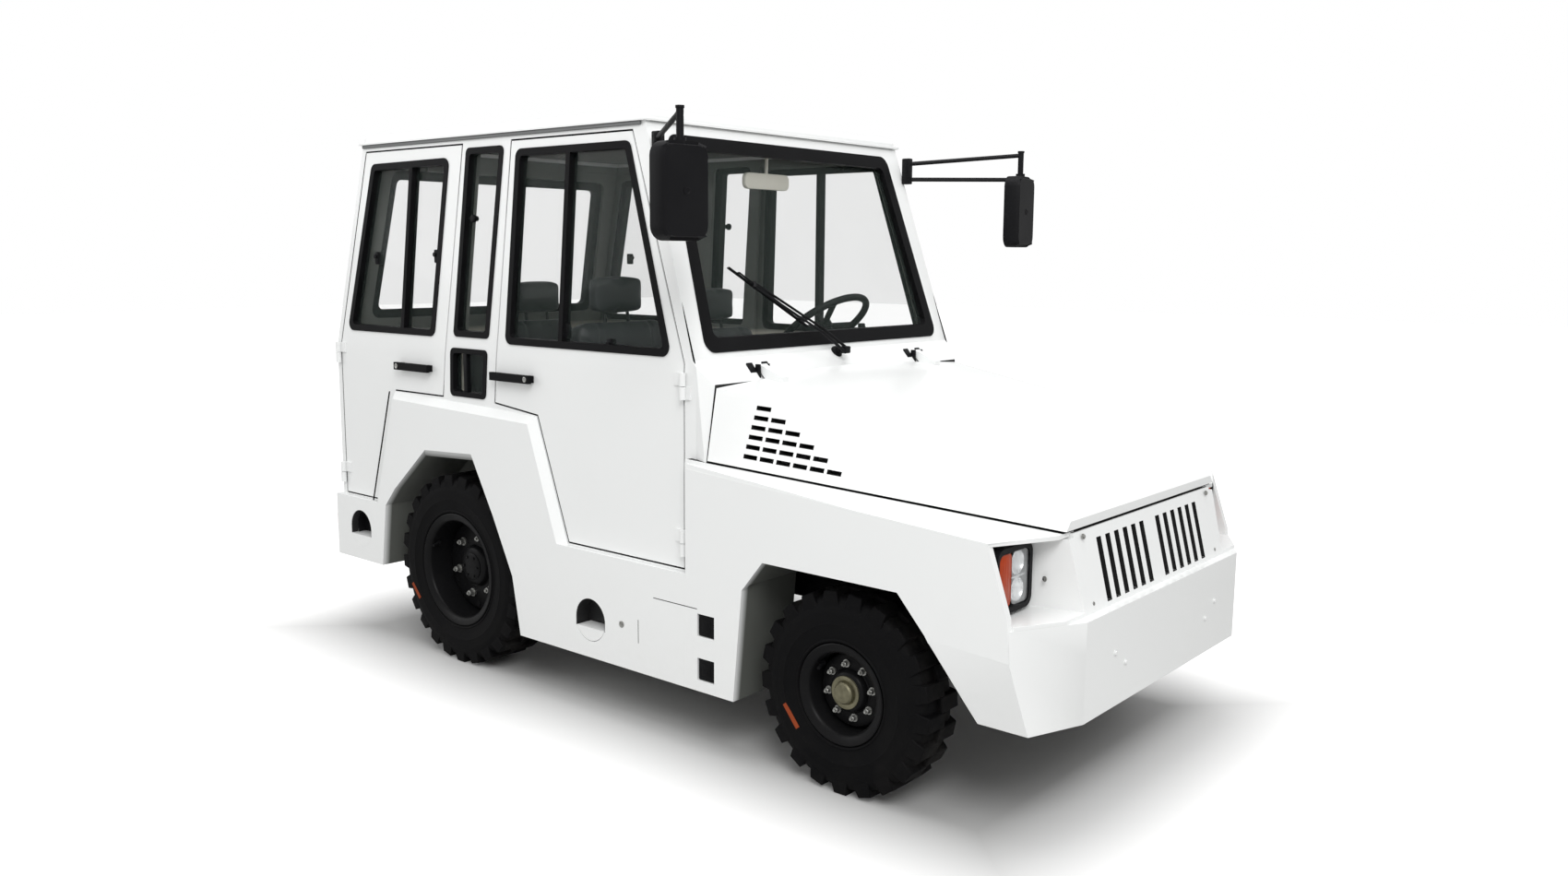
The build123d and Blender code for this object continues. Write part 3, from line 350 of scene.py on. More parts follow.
def tyreRubber():
    paint = Paint("tyre_rubber", Specular_IOR_Level=0.07)
    marks = paint.ramp(paint.noise(9.0, 8.0, 0.68), 0.42, 0.8)
    y, z = paint.axes()[1:]
    low = paint.ramp(z, 0.32, 0.0)
    tread = paint.ramp(y.size(), 0.682, 0.640)
    dusty = marks * (0.05 + low * 0.12 + tread * 0.45)
    paint.feed("Base Color", paint.mix(dusty, rgb(tints["tyre"]), rgb(tints["tyreDust"])))
    paint.feed("Roughness", 0.60 + marks * 0.18)
    paint.bump(paint.noise(380.0, 4.0, 0.65), 0.20, 0.0008)
    return paint.material


def tintedGlass():
    paint = Paint("tinted_glass", Base_Color=rgb(tints["glass"]), Roughness=0.02, IOR=1.5)
    smear = paint.ramp(paint.noise(4.0, 6.0, 0.6), 0.45, 0.8)
    paint.feed("Alpha", 0.024 + paint.grazing(0.30) * 0.12 + smear * 0.008)
    paint.material.surface_render_method = "BLENDED"
    return paint.material


def lens(name, colour, alpha, edgeAlpha, ribs=0.0):
    paint = Paint(name, Roughness=0.12, IOR=1.5, Specular_IOR_Level=0.3)
    cloud = paint.ramp(paint.noise(30.0, 4.0), 0.3, 0.8)
    paint.feed("Base Color", paint.mix(cloud, rgb(colour, 0.92), rgb(colour, 1.08)))
    paint.feed("Alpha", alpha + paint.grazing(0.4) * edgeAlpha)
    if ribs:
        wave = paint.node("ShaderNodeTexWave", {"Vector": paint.place(), "Scale": ribs}, bands_direction="Y")
        paint.bump(wave, 0.4, 0.001)
    paint.material.surface_render_method = "BLENDED"
    return paint.material


# White paints by where painted shade makes them black and what their inside shows (trim, or painted shade in
# the wheel arches); the nodes that have one of their own
whitePaints = {
    "white_paint": (None, None), "door_paint": (doorGapShade, cabInside), "roof_paint": (None, roofInside),
    "bonnet_paint": (bonnetGapShade, None), "fender_paint": (fenderGapShade, frontArchShade),
    "nose_paint": (noseGapShade, None), "cowl_paint": (cowlGapShade, None), "side_paint": (scoopShade, rearArchShade),
}
ownPaint = {
    "cab_frame": "door_paint", "bonnet": "bonnet_paint", "front_fenders": "fender_paint",
    "nose_panel": "nose_paint", "cowl_panel": "cowl_paint", "body_sides": "side_paint",
    "roof_panel": "roof_paint", **{"door_" + name: "door_paint" for name in doorNames},
}
materials = {name: dustedAndShadedPaint(name, finishes["white"], *marks) for name, marks in whitePaints.items()}
materials |= {
    "black_frame": dustedAndShadedPaint("black_paint", finishes["black"]),
    "black_rim": dustedAndShadedPaint("rim_paint", finishes["rim"]),
    "black_rubber": wornSurface(
        "rubber_trim", (tints["rubberAndShade"], tints["wornRubber"]), (7.0, 6.0, 0.55, 0.35), (0.46, 0.14),
        lambda paint: paint.noise(520.0, 3.0, 0.6), (0.15, 0.0004), Specular_IOR_Level=0.07),
    "grey_casting": wornSurface(
        "grey_casting", ((0.045, 0.045, 0.047), (0.108, 0.102, 0.0938)), (6.0, 8.0, 0.65, 0.4), (0.52, 0.3),
        lambda paint: paint.noise(95.0, 6.0, 0.7), (0.35, 0.0015), Metallic=0.25),
    "seat_vinyl": wornSurface(
        "seat_vinyl", ((0.014, 0.016, 0.018), (0.028, 0.031, 0.034)), (8.0, 6.0, 0.55, 0.35), (0.42, 0.2),
        lambda paint: paint.cells(420.0, "DISTANCE_TO_EDGE"), (0.3, 0.0006), Specular_IOR_Level=0.4),
    "tyre_rubber": tyreRubber(),
    "tinted_glass": tintedGlass(),
    "black_plastic": plastic("moulded_plastic", (0.005, 0.005, 0.006), (0.009, 0.009, 0.010), 0.42),
    "grey_plastic": plastic("grey_plastic", (0.16, 0.165, 0.165), (0.20, 0.205, 0.205), 0.5),
    "pale_plastic": plastic("pale_plastic", (0.58, 0.565, 0.50), (0.64, 0.62, 0.55), 0.45),
    "orange_mark": plastic("orange_mark", (0.20, 0.036, 0.012), (0.32, 0.062, 0.020), 0.5),
    "clear_lens": lens("clear_lens", (0.85, 0.87, 0.88), 0.04, 0.30),
    "amber_lens": lens("amber_lens", (0.40, 0.040, 0.004), 0.92, 0.08, 28.0),
    "red_lens": lens("red_lens", (0.36, 0.010, 0.008), 0.92, 0.08, 28.0),
    "zinc_steel": metal("zinc_steel", (0.45, 0.45, 0.43), 0.32),
    "mirror_glass": metal("mirror_glass", (0.85, 0.87, 0.88), 0.02),
    "lamp_chrome": metal("lamp_chrome", (0.93, 0.94, 0.95), 0.20, 0.95),
    "dull_brass": metal("dull_brass", (0.24, 0.225, 0.15), 0.36),
}


def paintOf(node):
    return ownPaint.get(node, nodeSlot[node])


for name in nodeSlot:
    nodes[name].data.materials.clear()
    nodes[name].data.materials.append(materials[paintOf(name)])
print("finishes made", len(materials))


def makePiece(name, bm, material, body="body", slot=None, smooth=35):
    # Mesh object from a bmesh, smooth apart from edges sharper than the angle, riding on a body
    slot = slot or material
    mesh = bpy.data.meshes.new(name)
    bm.to_mesh(mesh)
    bm.free()
    mesh.materials.append(materials[material])
    mesh.shade_smooth()
    mesh.set_sharp_from_angle(angle=math.radians(smooth))
    piece = link(name, mesh)
    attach(piece, body)
    return piece


def turnTo(direction, place):
    # Matrix that takes local Z to a direction at a place
    return Matrix.Translation(place) @ Vector(direction).to_track_quat("Z", "Y").to_matrix().to_4x4()


def bevelEdges(bm, edges, size, segments=2):
    bmesh.ops.bevel(bm, geom=edges, offset=size, offset_type="OFFSET", segments=segments, profile=0.5,
                    affect="EDGES", clamp_overlap=True, material=-1)


def bevelAll(bm, verts, size, segments=2):
    bevelEdges(bm, list({edge for vert in verts for edge in vert.link_edges}), size, segments)


def addedTo(bm, before):
    return [vert for vert in bm.verts if vert not in before]


def faceOutward(bm, verts):
    bmesh.ops.recalc_face_normals(bm, faces=list({face for vert in verts for face in vert.link_faces}))


def addRod(bm, start, end, radius, count=16, tip=None):
    along = Vector(end) - Vector(start)
    middle = (Vector(start) + Vector(end)) / 2
    made = bmesh.ops.create_cone(bm, cap_ends=True, cap_tris=False, segments=count, radius1=radius,
                                 radius2=radius if tip is None else tip, depth=along.length,
                                 matrix=turnTo(along, middle))
    return made["verts"]


def addBox(bm, low, high, bevel=0.0, segments=2, turn=None):
    low, high = Vector(low), Vector(high)
    size = Matrix.Diagonal((*(high - low), 1.0))
    matrix = Matrix.Translation((low + high) / 2) @ (turn or Matrix.Identity(4)) @ size
    made = bmesh.ops.create_cube(bm, size=1.0, matrix=matrix)
    if bevel:
        bevelAll(bm, made["verts"], bevel, segments)


def addBlock(bm, middle, size, bevel=0.0, segments=2, turn=None):
    half = Vector(size) / 2
    addBox(bm, Vector(middle) - half, Vector(middle) + half, bevel, segments, turn)


def addSpin(bm, profile, place, direction, steps=48, closed=False):
    # Profile of radius and height, turned round a direction at a place
    before = set(bm.verts)
    verts = [bm.verts.new((radius, 0, height)) for radius, height in profile]
    pairs = list(zip(verts, verts[1:])) + ([(verts[-1], verts[0])] if closed else [])
    edges = [bm.edges.new(pair) for pair in pairs]
    bmesh.ops.spin(bm, geom=verts + edges, cent=(0, 0, 0), axis=(0, 0, 1), dvec=(0, 0, 0), angle=2 * math.pi,
                   steps=steps, use_merge=True, use_duplicate=False)
    made = addedTo(bm, before)
    bmesh.ops.transform(bm, matrix=turnTo(direction, place), verts=made)
    bmesh.ops.remove_doubles(bm, verts=made, dist=0.00002)
    faceOutward(bm, addedTo(bm, before))


def addPrism(bm, points, axis, low, high, bevel=0.0, segments=2):
    # Outline in the two other axes, extruded along one axis
    before = set(bm.verts)
    verts = []
    for point in points:
        place = list(point)
        place.insert(axis, low)
        verts.append(bm.verts.new(place))
    pushed = bmesh.ops.extrude_face_region(bm, geom=[bm.faces.new(verts)])
    shift = [0.0, 0.0, 0.0]
    shift[axis] = high - low
    moved = [item for item in pushed["geom"] if isinstance(item, bmesh.types.BMVert)]
    bmesh.ops.translate(bm, vec=shift, verts=moved)
    made = addedTo(bm, before)
    faceOutward(bm, made)
    if bevel:
        bevelAll(bm, made, bevel, segments)


def addBolt(bm, place, direction, radius, height):
    # Hexagon head on a washer
    out = Vector(direction).normalized()
    start = Vector(place)
    addRod(bm, start - out * 0.002, start + out * height * 0.25, radius * 1.35, 20)
    head = addRod(bm, start + out * height * 0.2, start + out * height, radius, 6)
    bevelAll(bm, head, radius * 0.12, 1)


def roundedOutline(y0, y1, z0, z1, corner, count=5):
    # Rectangle with round corners, counterclockwise
    points = []
    for cy, cz, start in ((y1 - corner, z1 - corner, 0), (y0 + corner, z1 - corner, 90),
                          (y0 + corner, z0 + corner, 180), (y1 - corner, z0 + corner, 270)):
        for index in range(count):
            angle = math.radians(start + 90 * index / (count - 1))
            points.append((cy + corner * math.cos(angle), cz + corner * math.sin(angle)))
    return points


def mirrored(bm, side):
    # Made for the left; turned over for the right
    if side < 0:
        bmesh.ops.transform(bm, matrix=Matrix.Diagonal((1, -1, 1, 1)), verts=bm.verts)
        bmesh.ops.reverse_faces(bm, faces=bm.faces)
    return bm


def onSides(shape, chosen=(1, -1)):
    # What a function adds on the left, and the same turned over for the right
    bm = bmesh.new()
    for side in chosen:
        part = bmesh.new()
        shape(part)
        mesh = bpy.data.meshes.new("join")
        mirrored(part, side).to_mesh(mesh)
        part.free()
        bm.from_mesh(mesh)
        bpy.data.meshes.remove(mesh)
    return bm


# Copies of the panels with their edges eased: width in metres for each, on edges sharper than an angle in
# degrees and longer than a share of the width
easing = {"weld": 0.00003, "flat": 1.0, "sharp": 28.0, "shortest": 2.5}
easedEdges = {
    "body_sides": 0.0030, "front_fenders": 0.0030, "front_bumper": 0.0040, "nose_panel": 0.0022,
    "bonnet": 0.0022, "cowl_panel": 0.0030, "cab_frame": 0.0025, "roof_panel": 0.0060,
    **{"door_" + name: 0.0020 for name in doorNames}, **{"door_frame_" + name: 0.0018 for name in doorNames},
    "window_seals": 0.0020, "rear_apron": 0.0030, "tow_hitch": 0.0030, "chassis_frame": 0.0030,
    "lamp_bezels": 0.0025, "radiator": 0.0020, "front_axle": 0.0030, "knuckle_left": 0.0025,
    "knuckle_right": 0.0025, "leaf_springs": 0.0015, "engine_block": 0.0080,
}


def easeEdges(name, width):
    bm = bmesh.new()
    bm.from_mesh(nodes[name].data)
    bmesh.ops.remove_doubles(bm, verts=bm.verts, dist=easing["weld"])
    bmesh.ops.dissolve_limit(bm, angle_limit=math.radians(easing["flat"]), verts=bm.verts, edges=bm.edges)
    sharp, shortest = math.radians(easing["sharp"]), easing["shortest"] * width
    bevelEdges(bm, [edge for edge in bm.edges if len(edge.link_faces) == 2
                    and edge.calc_face_angle(0) > sharp and edge.calc_length() > shortest], width)
    piece = makePiece(name + "_eased", bm, paintOf(name), nodeBody[name], nodeSlot[name], 40)
    even = piece.modifiers.new("even", "WEIGHTED_NORMAL")
    even.keep_sharp = True
    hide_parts(name)


for name, width in easedEdges.items():
    easeEdges(name, width)
print("edges eased", len(easedEdges))

# Wheels: sizes in metres; disc is how far the wheel disc lies outside the middle of the tyre, mark is the
# place of the patch on the sidewall with its lean, width and length
wheelKinds = {
    "front": {
        "radius": 0.295, "width": 0.165, "rim": 0.142, "seatDepth": 0.014, "lugs": 21, "lugDepth": 0.014,
        "disc": 0.024, "bore": 0.0303, "boltCircle": 0.078, "bolts": 8, "boltSize": 0.0085,
        "boltHeight": 0.017, "vents": 0, "mark": (0.834, 0.193, -39.0, 0.014, 0.080), "valveTurn": 218.0,
    },
    "rear": {
        "radius": 0.353, "width": 0.210, "rim": 0.205, "seatDepth": 0.014, "lugs": 25, "lugDepth": 0.014,
        "disc": 0.006, "bore": 0.0443, "boltCircle": 0.1125, "bolts": 6, "boltSize": 0.0115,
        "boltHeight": 0.024, "vents": 6, "mark": (-1.037, 0.229, -42.0, 0.014, 0.070), "valveTurn": 205.0,
    },
}


def wheelPlace(node, kind):
    low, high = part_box(node)
    centre = Vector(((low.x + high.x) / 2, (low.y + high.y) / 2, kind["radius"]))
    return centre, 1 if centre.y > 0 else -1


def spokes(count, radius, shift=0.0):
    # Places round the axis of a wheel
    turns = [2 * math.pi * (index + shift) / count for index in range(count)]
    return [Vector((math.cos(turn), 0, math.sin(turn))) * radius for turn in turns]


def makeTyre(node, kind):
    centre, side = wheelPlace(node, kind)
    radius, half, rim = kind["radius"], kind["width"] / 2, kind["rim"]
    floor = radius - kind["lugDepth"]
    bulge = (radius + rim) / 2
    # Sidewall: its steps from the rim, the widest part and the floor of the tread, with how far in each lies
    wall = [(base + step, half - inset) for base, steps in (
        (rim, ((-0.013, 0.021), (-0.004, 0.016), (0.005, 0.0125), (0.009, 0.0055), (0.013, 0.0035),
               (0.017, 0.0065))),
        (bulge, ((-0.022, 0.0020), (-0.017, 0.0002), (-0.012, 0.0014), (0.010, 0.0004), (0.020, 0.0020))),
        (floor, ((-0.022, 0.0085), (-0.010, 0.0140), (-0.003, 0.0230), (0.0, 0.0360))),
    ) for step, inset in steps]
    bm = bmesh.new()
    addSpin(bm, wall + [(r, -out) for r, out in reversed(wall)], centre, (0, 1, 0), 84, closed=True)
    # Lugs from each shoulder to just past the middle, those of the two sides in turn, wider at the foot
    step = math.pi / kind["lugs"]
    past = 0.12 * half
    lug = [(bulge - 0.002, half - 0.006), (radius - 0.026, half - 0.0062), (radius - 0.001, half - 0.011),
           (radius, half - 0.020), (radius, -past), (floor - 0.006, -past), (floor - 0.006, half - 0.044),
           (bulge - 0.002, half - 0.030)]
    reach = radius * math.tan(step / 2)
    for index in range(2 * kind["lugs"]):
        way = 1 if index % 2 else -1
        before = set(bm.verts)
        addPrism(bm, [(way * out, -r) for r, out in lug], 0, -reach, reach)
        block = addedTo(bm, before)
        for vert in block:
            vert.co.x *= 1 + 0.15 * (radius + vert.co.z) / reach
        bevelAll(bm, block, 0.0022, 1)
        turn = Matrix.Rotation(-index * step, 4, "Y")
        bmesh.ops.transform(bm, matrix=Matrix.Translation(centre) @ turn, verts=addedTo(bm, before))
    piece = makePiece(node + "_tread", bm, "tyre_rubber", nodeBody[node], smooth=32)
    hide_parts(node)
    makeMark(node, kind, side)


def makeMark(node, kind, side):
    # Small orange patch on the sidewall
    x, z, lean, width, length = kind["mark"]
    low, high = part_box(node)
    face = high.y if side > 0 else -low.y
    bm = bmesh.new()
    addBlock(bm, (x, face - 0.0027, z), (width, 0.0066, length), 0.0008, 1,
             Matrix.Rotation(math.radians(lean), 4, "Y"))
    makePiece(node + "_mark", mirrored(bm, side), "orange_mark", nodeBody[node], "amber_lens")


def makeDish(node, kind, centre, out):
    half, rim, disc, bore = kind["width"] / 2, kind["rim"], kind["disc"], kind["bore"]
    seat = rim - kind["seatDepth"]
    profile = [
        (bore, disc - 0.062), (bore + 0.026, disc - 0.062), (bore + 0.026, disc - 0.014),
        (seat - 0.036, disc - 0.012), (seat - 0.020, disc - 0.022), (seat - 0.012, disc - 0.042),
        (seat - 0.012, 0.014 - half), (rim, 0.006 - half), (rim + 0.0045, 0.009 - half),
        (seat + 0.002, 0.020 - half), (seat, 0.034 - half), (seat, half - 0.034),
        (seat + 0.002, half - 0.020), (rim + 0.0035, half - 0.0095), (rim + 0.0045, half - 0.0060),
        (rim + 0.0015, half - 0.0040), (seat - 0.003, half - 0.0085), (seat - 0.009, half - 0.0140),
        (seat - 0.012, half - 0.0210), (seat - 0.012, disc - 0.030), (seat - 0.016, disc - 0.014),
        (seat - 0.024, disc - 0.003), (seat - 0.036, disc), (bore + 0.036, disc),
        (bore + 0.033, disc + 0.002), (bore + 0.028, disc + 0.018), (bore + 0.024, disc + 0.022),
        (bore + 0.010, disc + 0.026), (0, disc + 0.026), (0, disc + 0.006), (bore, disc + 0.006),
    ]
    bm = bmesh.new()
    addSpin(bm, profile, centre, out, 72, closed=True)
    for spoke in spokes(kind["vents"], kind["boltCircle"] + 0.034, 0.5):
        addRod(bm, centre + spoke + out * (disc - 0.002), centre + spoke + out * (disc + 0.003), 0.011, 20)
    piece = makePiece(node + "_dish", bm, "black_rim", nodeBody[node], smooth=30)
    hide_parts(node)


def makeNuts(node, kind, centre, out):
    bm = bmesh.new()
    for spoke in spokes(kind["bolts"], kind["boltCircle"], 0.25):
        place = centre + spoke + out * kind["disc"]
        addBolt(bm, place, out, kind["boltSize"], kind["boltHeight"])
        addRod(bm, place, place + out * (kind["boltHeight"] + 0.006), kind["boltSize"] * 0.48, 12)
    makePiece(node + "_nuts", bm, "zinc_steel", nodeBody[node], "grey_casting", 30)


def makeCap(node, kind, centre, out):
    # Bolted and black at the rear, a plain dome at the front
    bm = bmesh.new()
    cap = centre + out * (kind["disc"] + 0.025)
    size = kind["bore"] + 0.001
    if kind["vents"]:
        dome = [(size + 0.006, 0.0), (size + 0.006, 0.004), (size, 0.007), (size * 0.5, 0.009), (0, 0.0095)]
        addSpin(bm, dome, cap, out, 40)
        for spoke in spokes(6, size * 0.86):
            addBolt(bm, cap + spoke + out * 0.006, out, 0.005, 0.006)
    else:
        ring = [(size + 0.017, 0.0), (size + 0.016, 0.004), (size + 0.008, 0.0055), (size + 0.003, 0.004)]
        dome = [(size + 0.001, 0.003), (size, 0.013), (size * 0.86, 0.0175), (size * 0.5, 0.0195), (0, 0.020)]
        addSpin(bm, ring + dome, cap, out, 48)
    look = "black_rim" if kind["vents"] else "dull_brass"
    makePiece(node + "_cap", bm, look, nodeBody[node], "grey_casting", 30)


def makeValve(node, kind, centre, out):
    bm = bmesh.new()
    angle = math.radians(kind["valveTurn"] if out.y < 0 else 180 - kind["valveTurn"])
    spoke = Vector((math.cos(angle), 0, -math.sin(angle)))
    seat = kind["rim"] - kind["seatDepth"]
    root = centre + spoke * (seat - 0.020) + out * (kind["width"] / 2 - 0.040)
    addRod(bm, root, root + out * 0.026 - spoke * 0.008, 0.0042, 12)
    addRod(bm, root + out * 0.024 - spoke * 0.0075, root + out * 0.033 - spoke * 0.010, 0.0052, 12, 0.0046)
    addRod(bm, root - out * 0.004 + spoke * 0.008, root + out * 0.003 - spoke * 0.001, 0.0075, 12)
    makePiece(node + "_valve", bm, "black_rubber", nodeBody[node])


for place, kind in wheelKinds.items():
    for side in sides:
        makeTyre(f"tyre_{place}_{side}", kind)
        node = f"rim_{place}_{side}"
        centre, way = wheelPlace(node, kind)
        for make in (makeDish, makeNuts, makeCap, makeValve):
            make(node, kind, centre, Vector((0, way, 0)))
print("wheels made")

# Lamps in their alcoves: the middle of the left bezel, its size, and where clear and amber meet
lamp = {
    "back": 1.462, "y": 0.606, "z": 0.700, "width": 0.176, "height": 0.172, "split": 0.614,
    "frontFace": 0.036, "chamberLift": 0.036, "bowl": 0.030,
}


def makeLamps(spec):
    back, face = spec["back"] + 0.012, spec["back"] + spec["frontFace"]
    inner = spec["y"] - spec["width"] / 2 + 0.016
    outer = spec["y"] + spec["width"] / 2 - 0.012
    low = spec["z"] - spec["height"] / 2 + 0.016
    high = spec["z"] + spec["height"] / 2 - 0.016
    z, split, bowl = spec["z"], spec["split"], spec["bowl"]
    chambers = [((inner + split) / 2, z + way * spec["chamberLift"]) for way in (-1, 1)]

    def covers(part):
        addPrism(part, roundedOutline(inner, split - 0.002, low, high, 0.016), 0, face - 0.004, face, 0.002)

    def ambers(part):
        addPrism(part, roundedOutline(split + 0.002, outer, low, high, 0.016), 0, face - 0.020, face, 0.002)

    def bowls(part):
        plate = roundedOutline(inner + 0.001, split - 0.003, low + 0.001, high - 0.001, 0.014)
        addPrism(part, plate, 0, back - 0.001, back + 0.003)
        curve = [(bowl + 0.003, 0.015), (bowl, 0.0165), (bowl * 0.86, 0.009), (bowl * 0.6, 0.004),
                 (0.004, 0.002)]
        for middle in chambers:
            addSpin(part, curve, (back + 0.001, *middle), (1, 0, 0), 36)
        addBox(part, (back, inner + 0.003, z - 0.0025), (back + 0.019, split - 0.004, z + 0.0025), 0.001, 1)

    def bulbs(part):
        for middle in chambers:
            addSpin(part, [(0.0, 0.016), (0.005, 0.014), (0.0062, 0.009), (0.0055, 0.002), (0.008, 0.0)],
                    (back + 0.002, *middle), (1, 0, 0), 20)

    cover = makePiece("headlamp_covers", onSides(covers), "clear_lens")
    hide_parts("headlamp_lenses")
    amber = makePiece("turn_covers", onSides(ambers), "amber_lens")
    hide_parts("turn_lenses")
    makePiece("lamp_reflectors", onSides(bowls), "lamp_chrome", slot="clear_lens", smooth=30)
    makePiece("lamp_bulbs", onSides(bulbs), "clear_lens")


makeLamps(lamp)

# Lower sides: step pads, seams of the hatch as thin dark strips that paint the shade in its gaps, and its
# lock
lowerSide = {
    "padX": (0.4895, 0.5565), "padZ": ((0.2315, 0.2985), (0.3695, 0.4365)), "padFace": 0.7165, "face": 0.7200,
    "lines": (((0.300, 0.452), (0.486, 0.452)), ((0.229, 0.292), (0.229, 0.366))), "lineHalf": 0.0015,
}


def stepPads(part):
    x0, x1 = lowerSide["padX"]
    face = lowerSide["padFace"]
    for low, high in lowerSide["padZ"]:
        addBox(part, (x0, 0.694, low), (x1, face, high), 0.005, 3)
        addBox(part, (x0 + 0.014, 0.70, low + 0.014), (x1 - 0.014, face + 0.002, high - 0.014), 0.004)


# Painted shade: black strips in the hatch's shut lines
def hatchGapShade(part):
    face, half = lowerSide["face"], lowerSide["lineHalf"]
    for (x0, z0), (x1, z1) in lowerSide["lines"]:
        addBox(part, (x0 - half, face - 0.004, z0 - half), (x1 + half, face + 0.0004, z1 + half), 0.0006, 1)


def hatchLock(part):
    face = lowerSide["face"]
    ring = [(0.011, 0.0), (0.011, 0.0022), (0.009, 0.0032), (0.0065, 0.0026), (0.0060, 0.0012), (0, 0.0012)]
    addSpin(part, ring, (0.152, face - 0.0005, 0.338), (0, 1, 0), 24)
    addBox(part, (0.1507, face, 0.3335), (0.1533, face + 0.0022, 0.3425), 0.0005, 1)


makePiece("step_pads", onSides(stepPads), "black_rubber")
makePiece("hatch_gap_shade", onSides(hatchGapShade), "black_rubber")
makePiece("hatch_locks", onSides(hatchLock), "zinc_steel", slot="grey_casting")

# Bolt heads: finish, slot, size, height, sides, and directions with their places
boltSets = {
    "roof_bolts": ("white_paint", "white_paint", 0.008, 0.007, (1,), {
        (0, 0, 1): ((0.051, -0.586, 1.9495), (0.168, -0.265, 1.9495), (0.125, 0.600, 1.9495),
                    (-1.230, -0.590, 1.9495), (-1.230, 0.590, 1.9495))}),
    "nose_bolts": ("zinc_steel", "grey_casting", 0.0055, 0.004, (1, -1), {
        (0.968, 0, 0.252): ((1.6235, 0.410, 0.616), (1.5885, 0.410, 0.790)),
        (-0.40, 1, 0): ((1.530, 0.5026, 0.684),)}),
    "bumper_bolts": ("white_paint", "white_paint", 0.0065, 0.005, (1,), {
        (1, 0, 0): ((1.659, -0.340, 0.473), (1.659, -0.274, 0.432), (1.659, 0.274, 0.432),
                    (1.659, 0.340, 0.473))}),
    "tail_bolts": ("zinc_steel", "grey_casting", 0.0075, 0.007, (1, -1), {
        (-1, 0, 0): ((-1.528, 0.640, 0.340), (-1.528, 0.640, 0.520), (-1.528, 0.300, 0.340),
                     (-1.528, 0.300, 0.520), (-1.548, 0.088, 0.330), (-1.548, 0.088, 0.490))}),
}


def makeBolts(name, material, slot, size, height, chosen, places):
    def heads(part):
        for way, spots in places.items():
            for spot in spots:
                addBolt(part, spot, way, size, height)

    makePiece(name, onSides(heads, chosen), material, slot=slot, smooth=30)


for name, row in boltSets.items():
    makeBolts(name, *row)

# Wiper: twin arms from the spindle to a blade that lies on the glass
wiperPlan = {
    "spindle": (0.446, 0.0, 1.186), "tip": (0.350, -0.452, 1.472), "armGap": 0.026, "arm": 0.0042,
    "bladeBack": 0.30, "ribs": 7,
}


def glassX(z, gap):
    return cab["front"] - max(0.0, z - cab["belt"]) * cab["frontLean"] + gap


def sideY(z, gap):
    return cab["half"] - max(0.0, z - cab["belt"]) * cab["sideLean"] - gap


def makeWiper(spec):
    bm = bmesh.new()
    hub = Vector(spec["spindle"])
    out = Vector((0.80, 0, 0.60))
    addSpin(bm, [(0.022, -0.020), (0.024, 0.004), (0.019, 0.012), (0.012, 0.014), (0.012, 0.024),
                 (0.010, 0.027), (0, 0.028)], hub, out, 28)
    tip = Vector(spec["tip"])
    tip.x = glassX(tip.z, 0.022)
    root = Vector((glassX(hub.z, 0.030), hub.y, hub.z)) + Vector((0.012, 0, 0.012))
    across = (tip - root).normalized().cross(out).normalized() * spec["armGap"] / 2
    reach = root.lerp(tip, 0.80)
    for way in (-1, 1):
        start = root + across * way
        bend = start.lerp(reach, 0.28) + out * 0.010
        addRod(bm, start, bend, spec["arm"] * 1.25, 12)
        addRod(bm, bend, reach + across * way * 0.7, spec["arm"], 12)
    addBlock(bm, root, (0.024, 0.030, 0.024), 0.004)
    addRod(bm, reach - across, reach + across, 0.0065, 12)
    # Blade: a back strip, cross ribs and a rubber edge on the glass
    foot = root.lerp(tip, spec["bladeBack"])
    for end in (foot, tip):
        end.x = glassX(end.z, 0.016)
    addRod(bm, foot, tip, 0.0035, 10)
    lift = Vector((0.0095, 0, 0.003))
    addRod(bm, foot.lerp(tip, 0.12) + lift, foot.lerp(tip, 0.90) + lift, 0.0030, 10)
    for index in range(spec["ribs"]):
        middle = foot + (tip - foot) * (0.12 + 0.78 * index / (spec["ribs"] - 1))
        addRod(bm, middle, middle + lift, 0.0036, 8)
    arm = makePiece("wiper_arms", bm, "black_plastic", smooth=40)
    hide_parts("wiper")
    bm = bmesh.new()
    press = Vector((-0.006, 0, -0.001))
    addRod(bm, foot + press, tip + press, 0.0028, 6)
    makePiece("wiper_rubber", bm, "black_rubber")


makeWiper(wiperPlan)

# Mirrors: housing, arms and glass on the left; arms by their heights at the root and at the stem
mirrorPlan = {
    "place": (0.614, 0.910, 1.680), "turn": 8.0, "size": (0.060, 0.160, 0.265), "corner": 0.040,
    "root": (0.277, 0.664), "arms": ((1.858, 1.890), (1.800, 1.800)), "armRadius": 0.0078, "stemTop": 1.903,
}


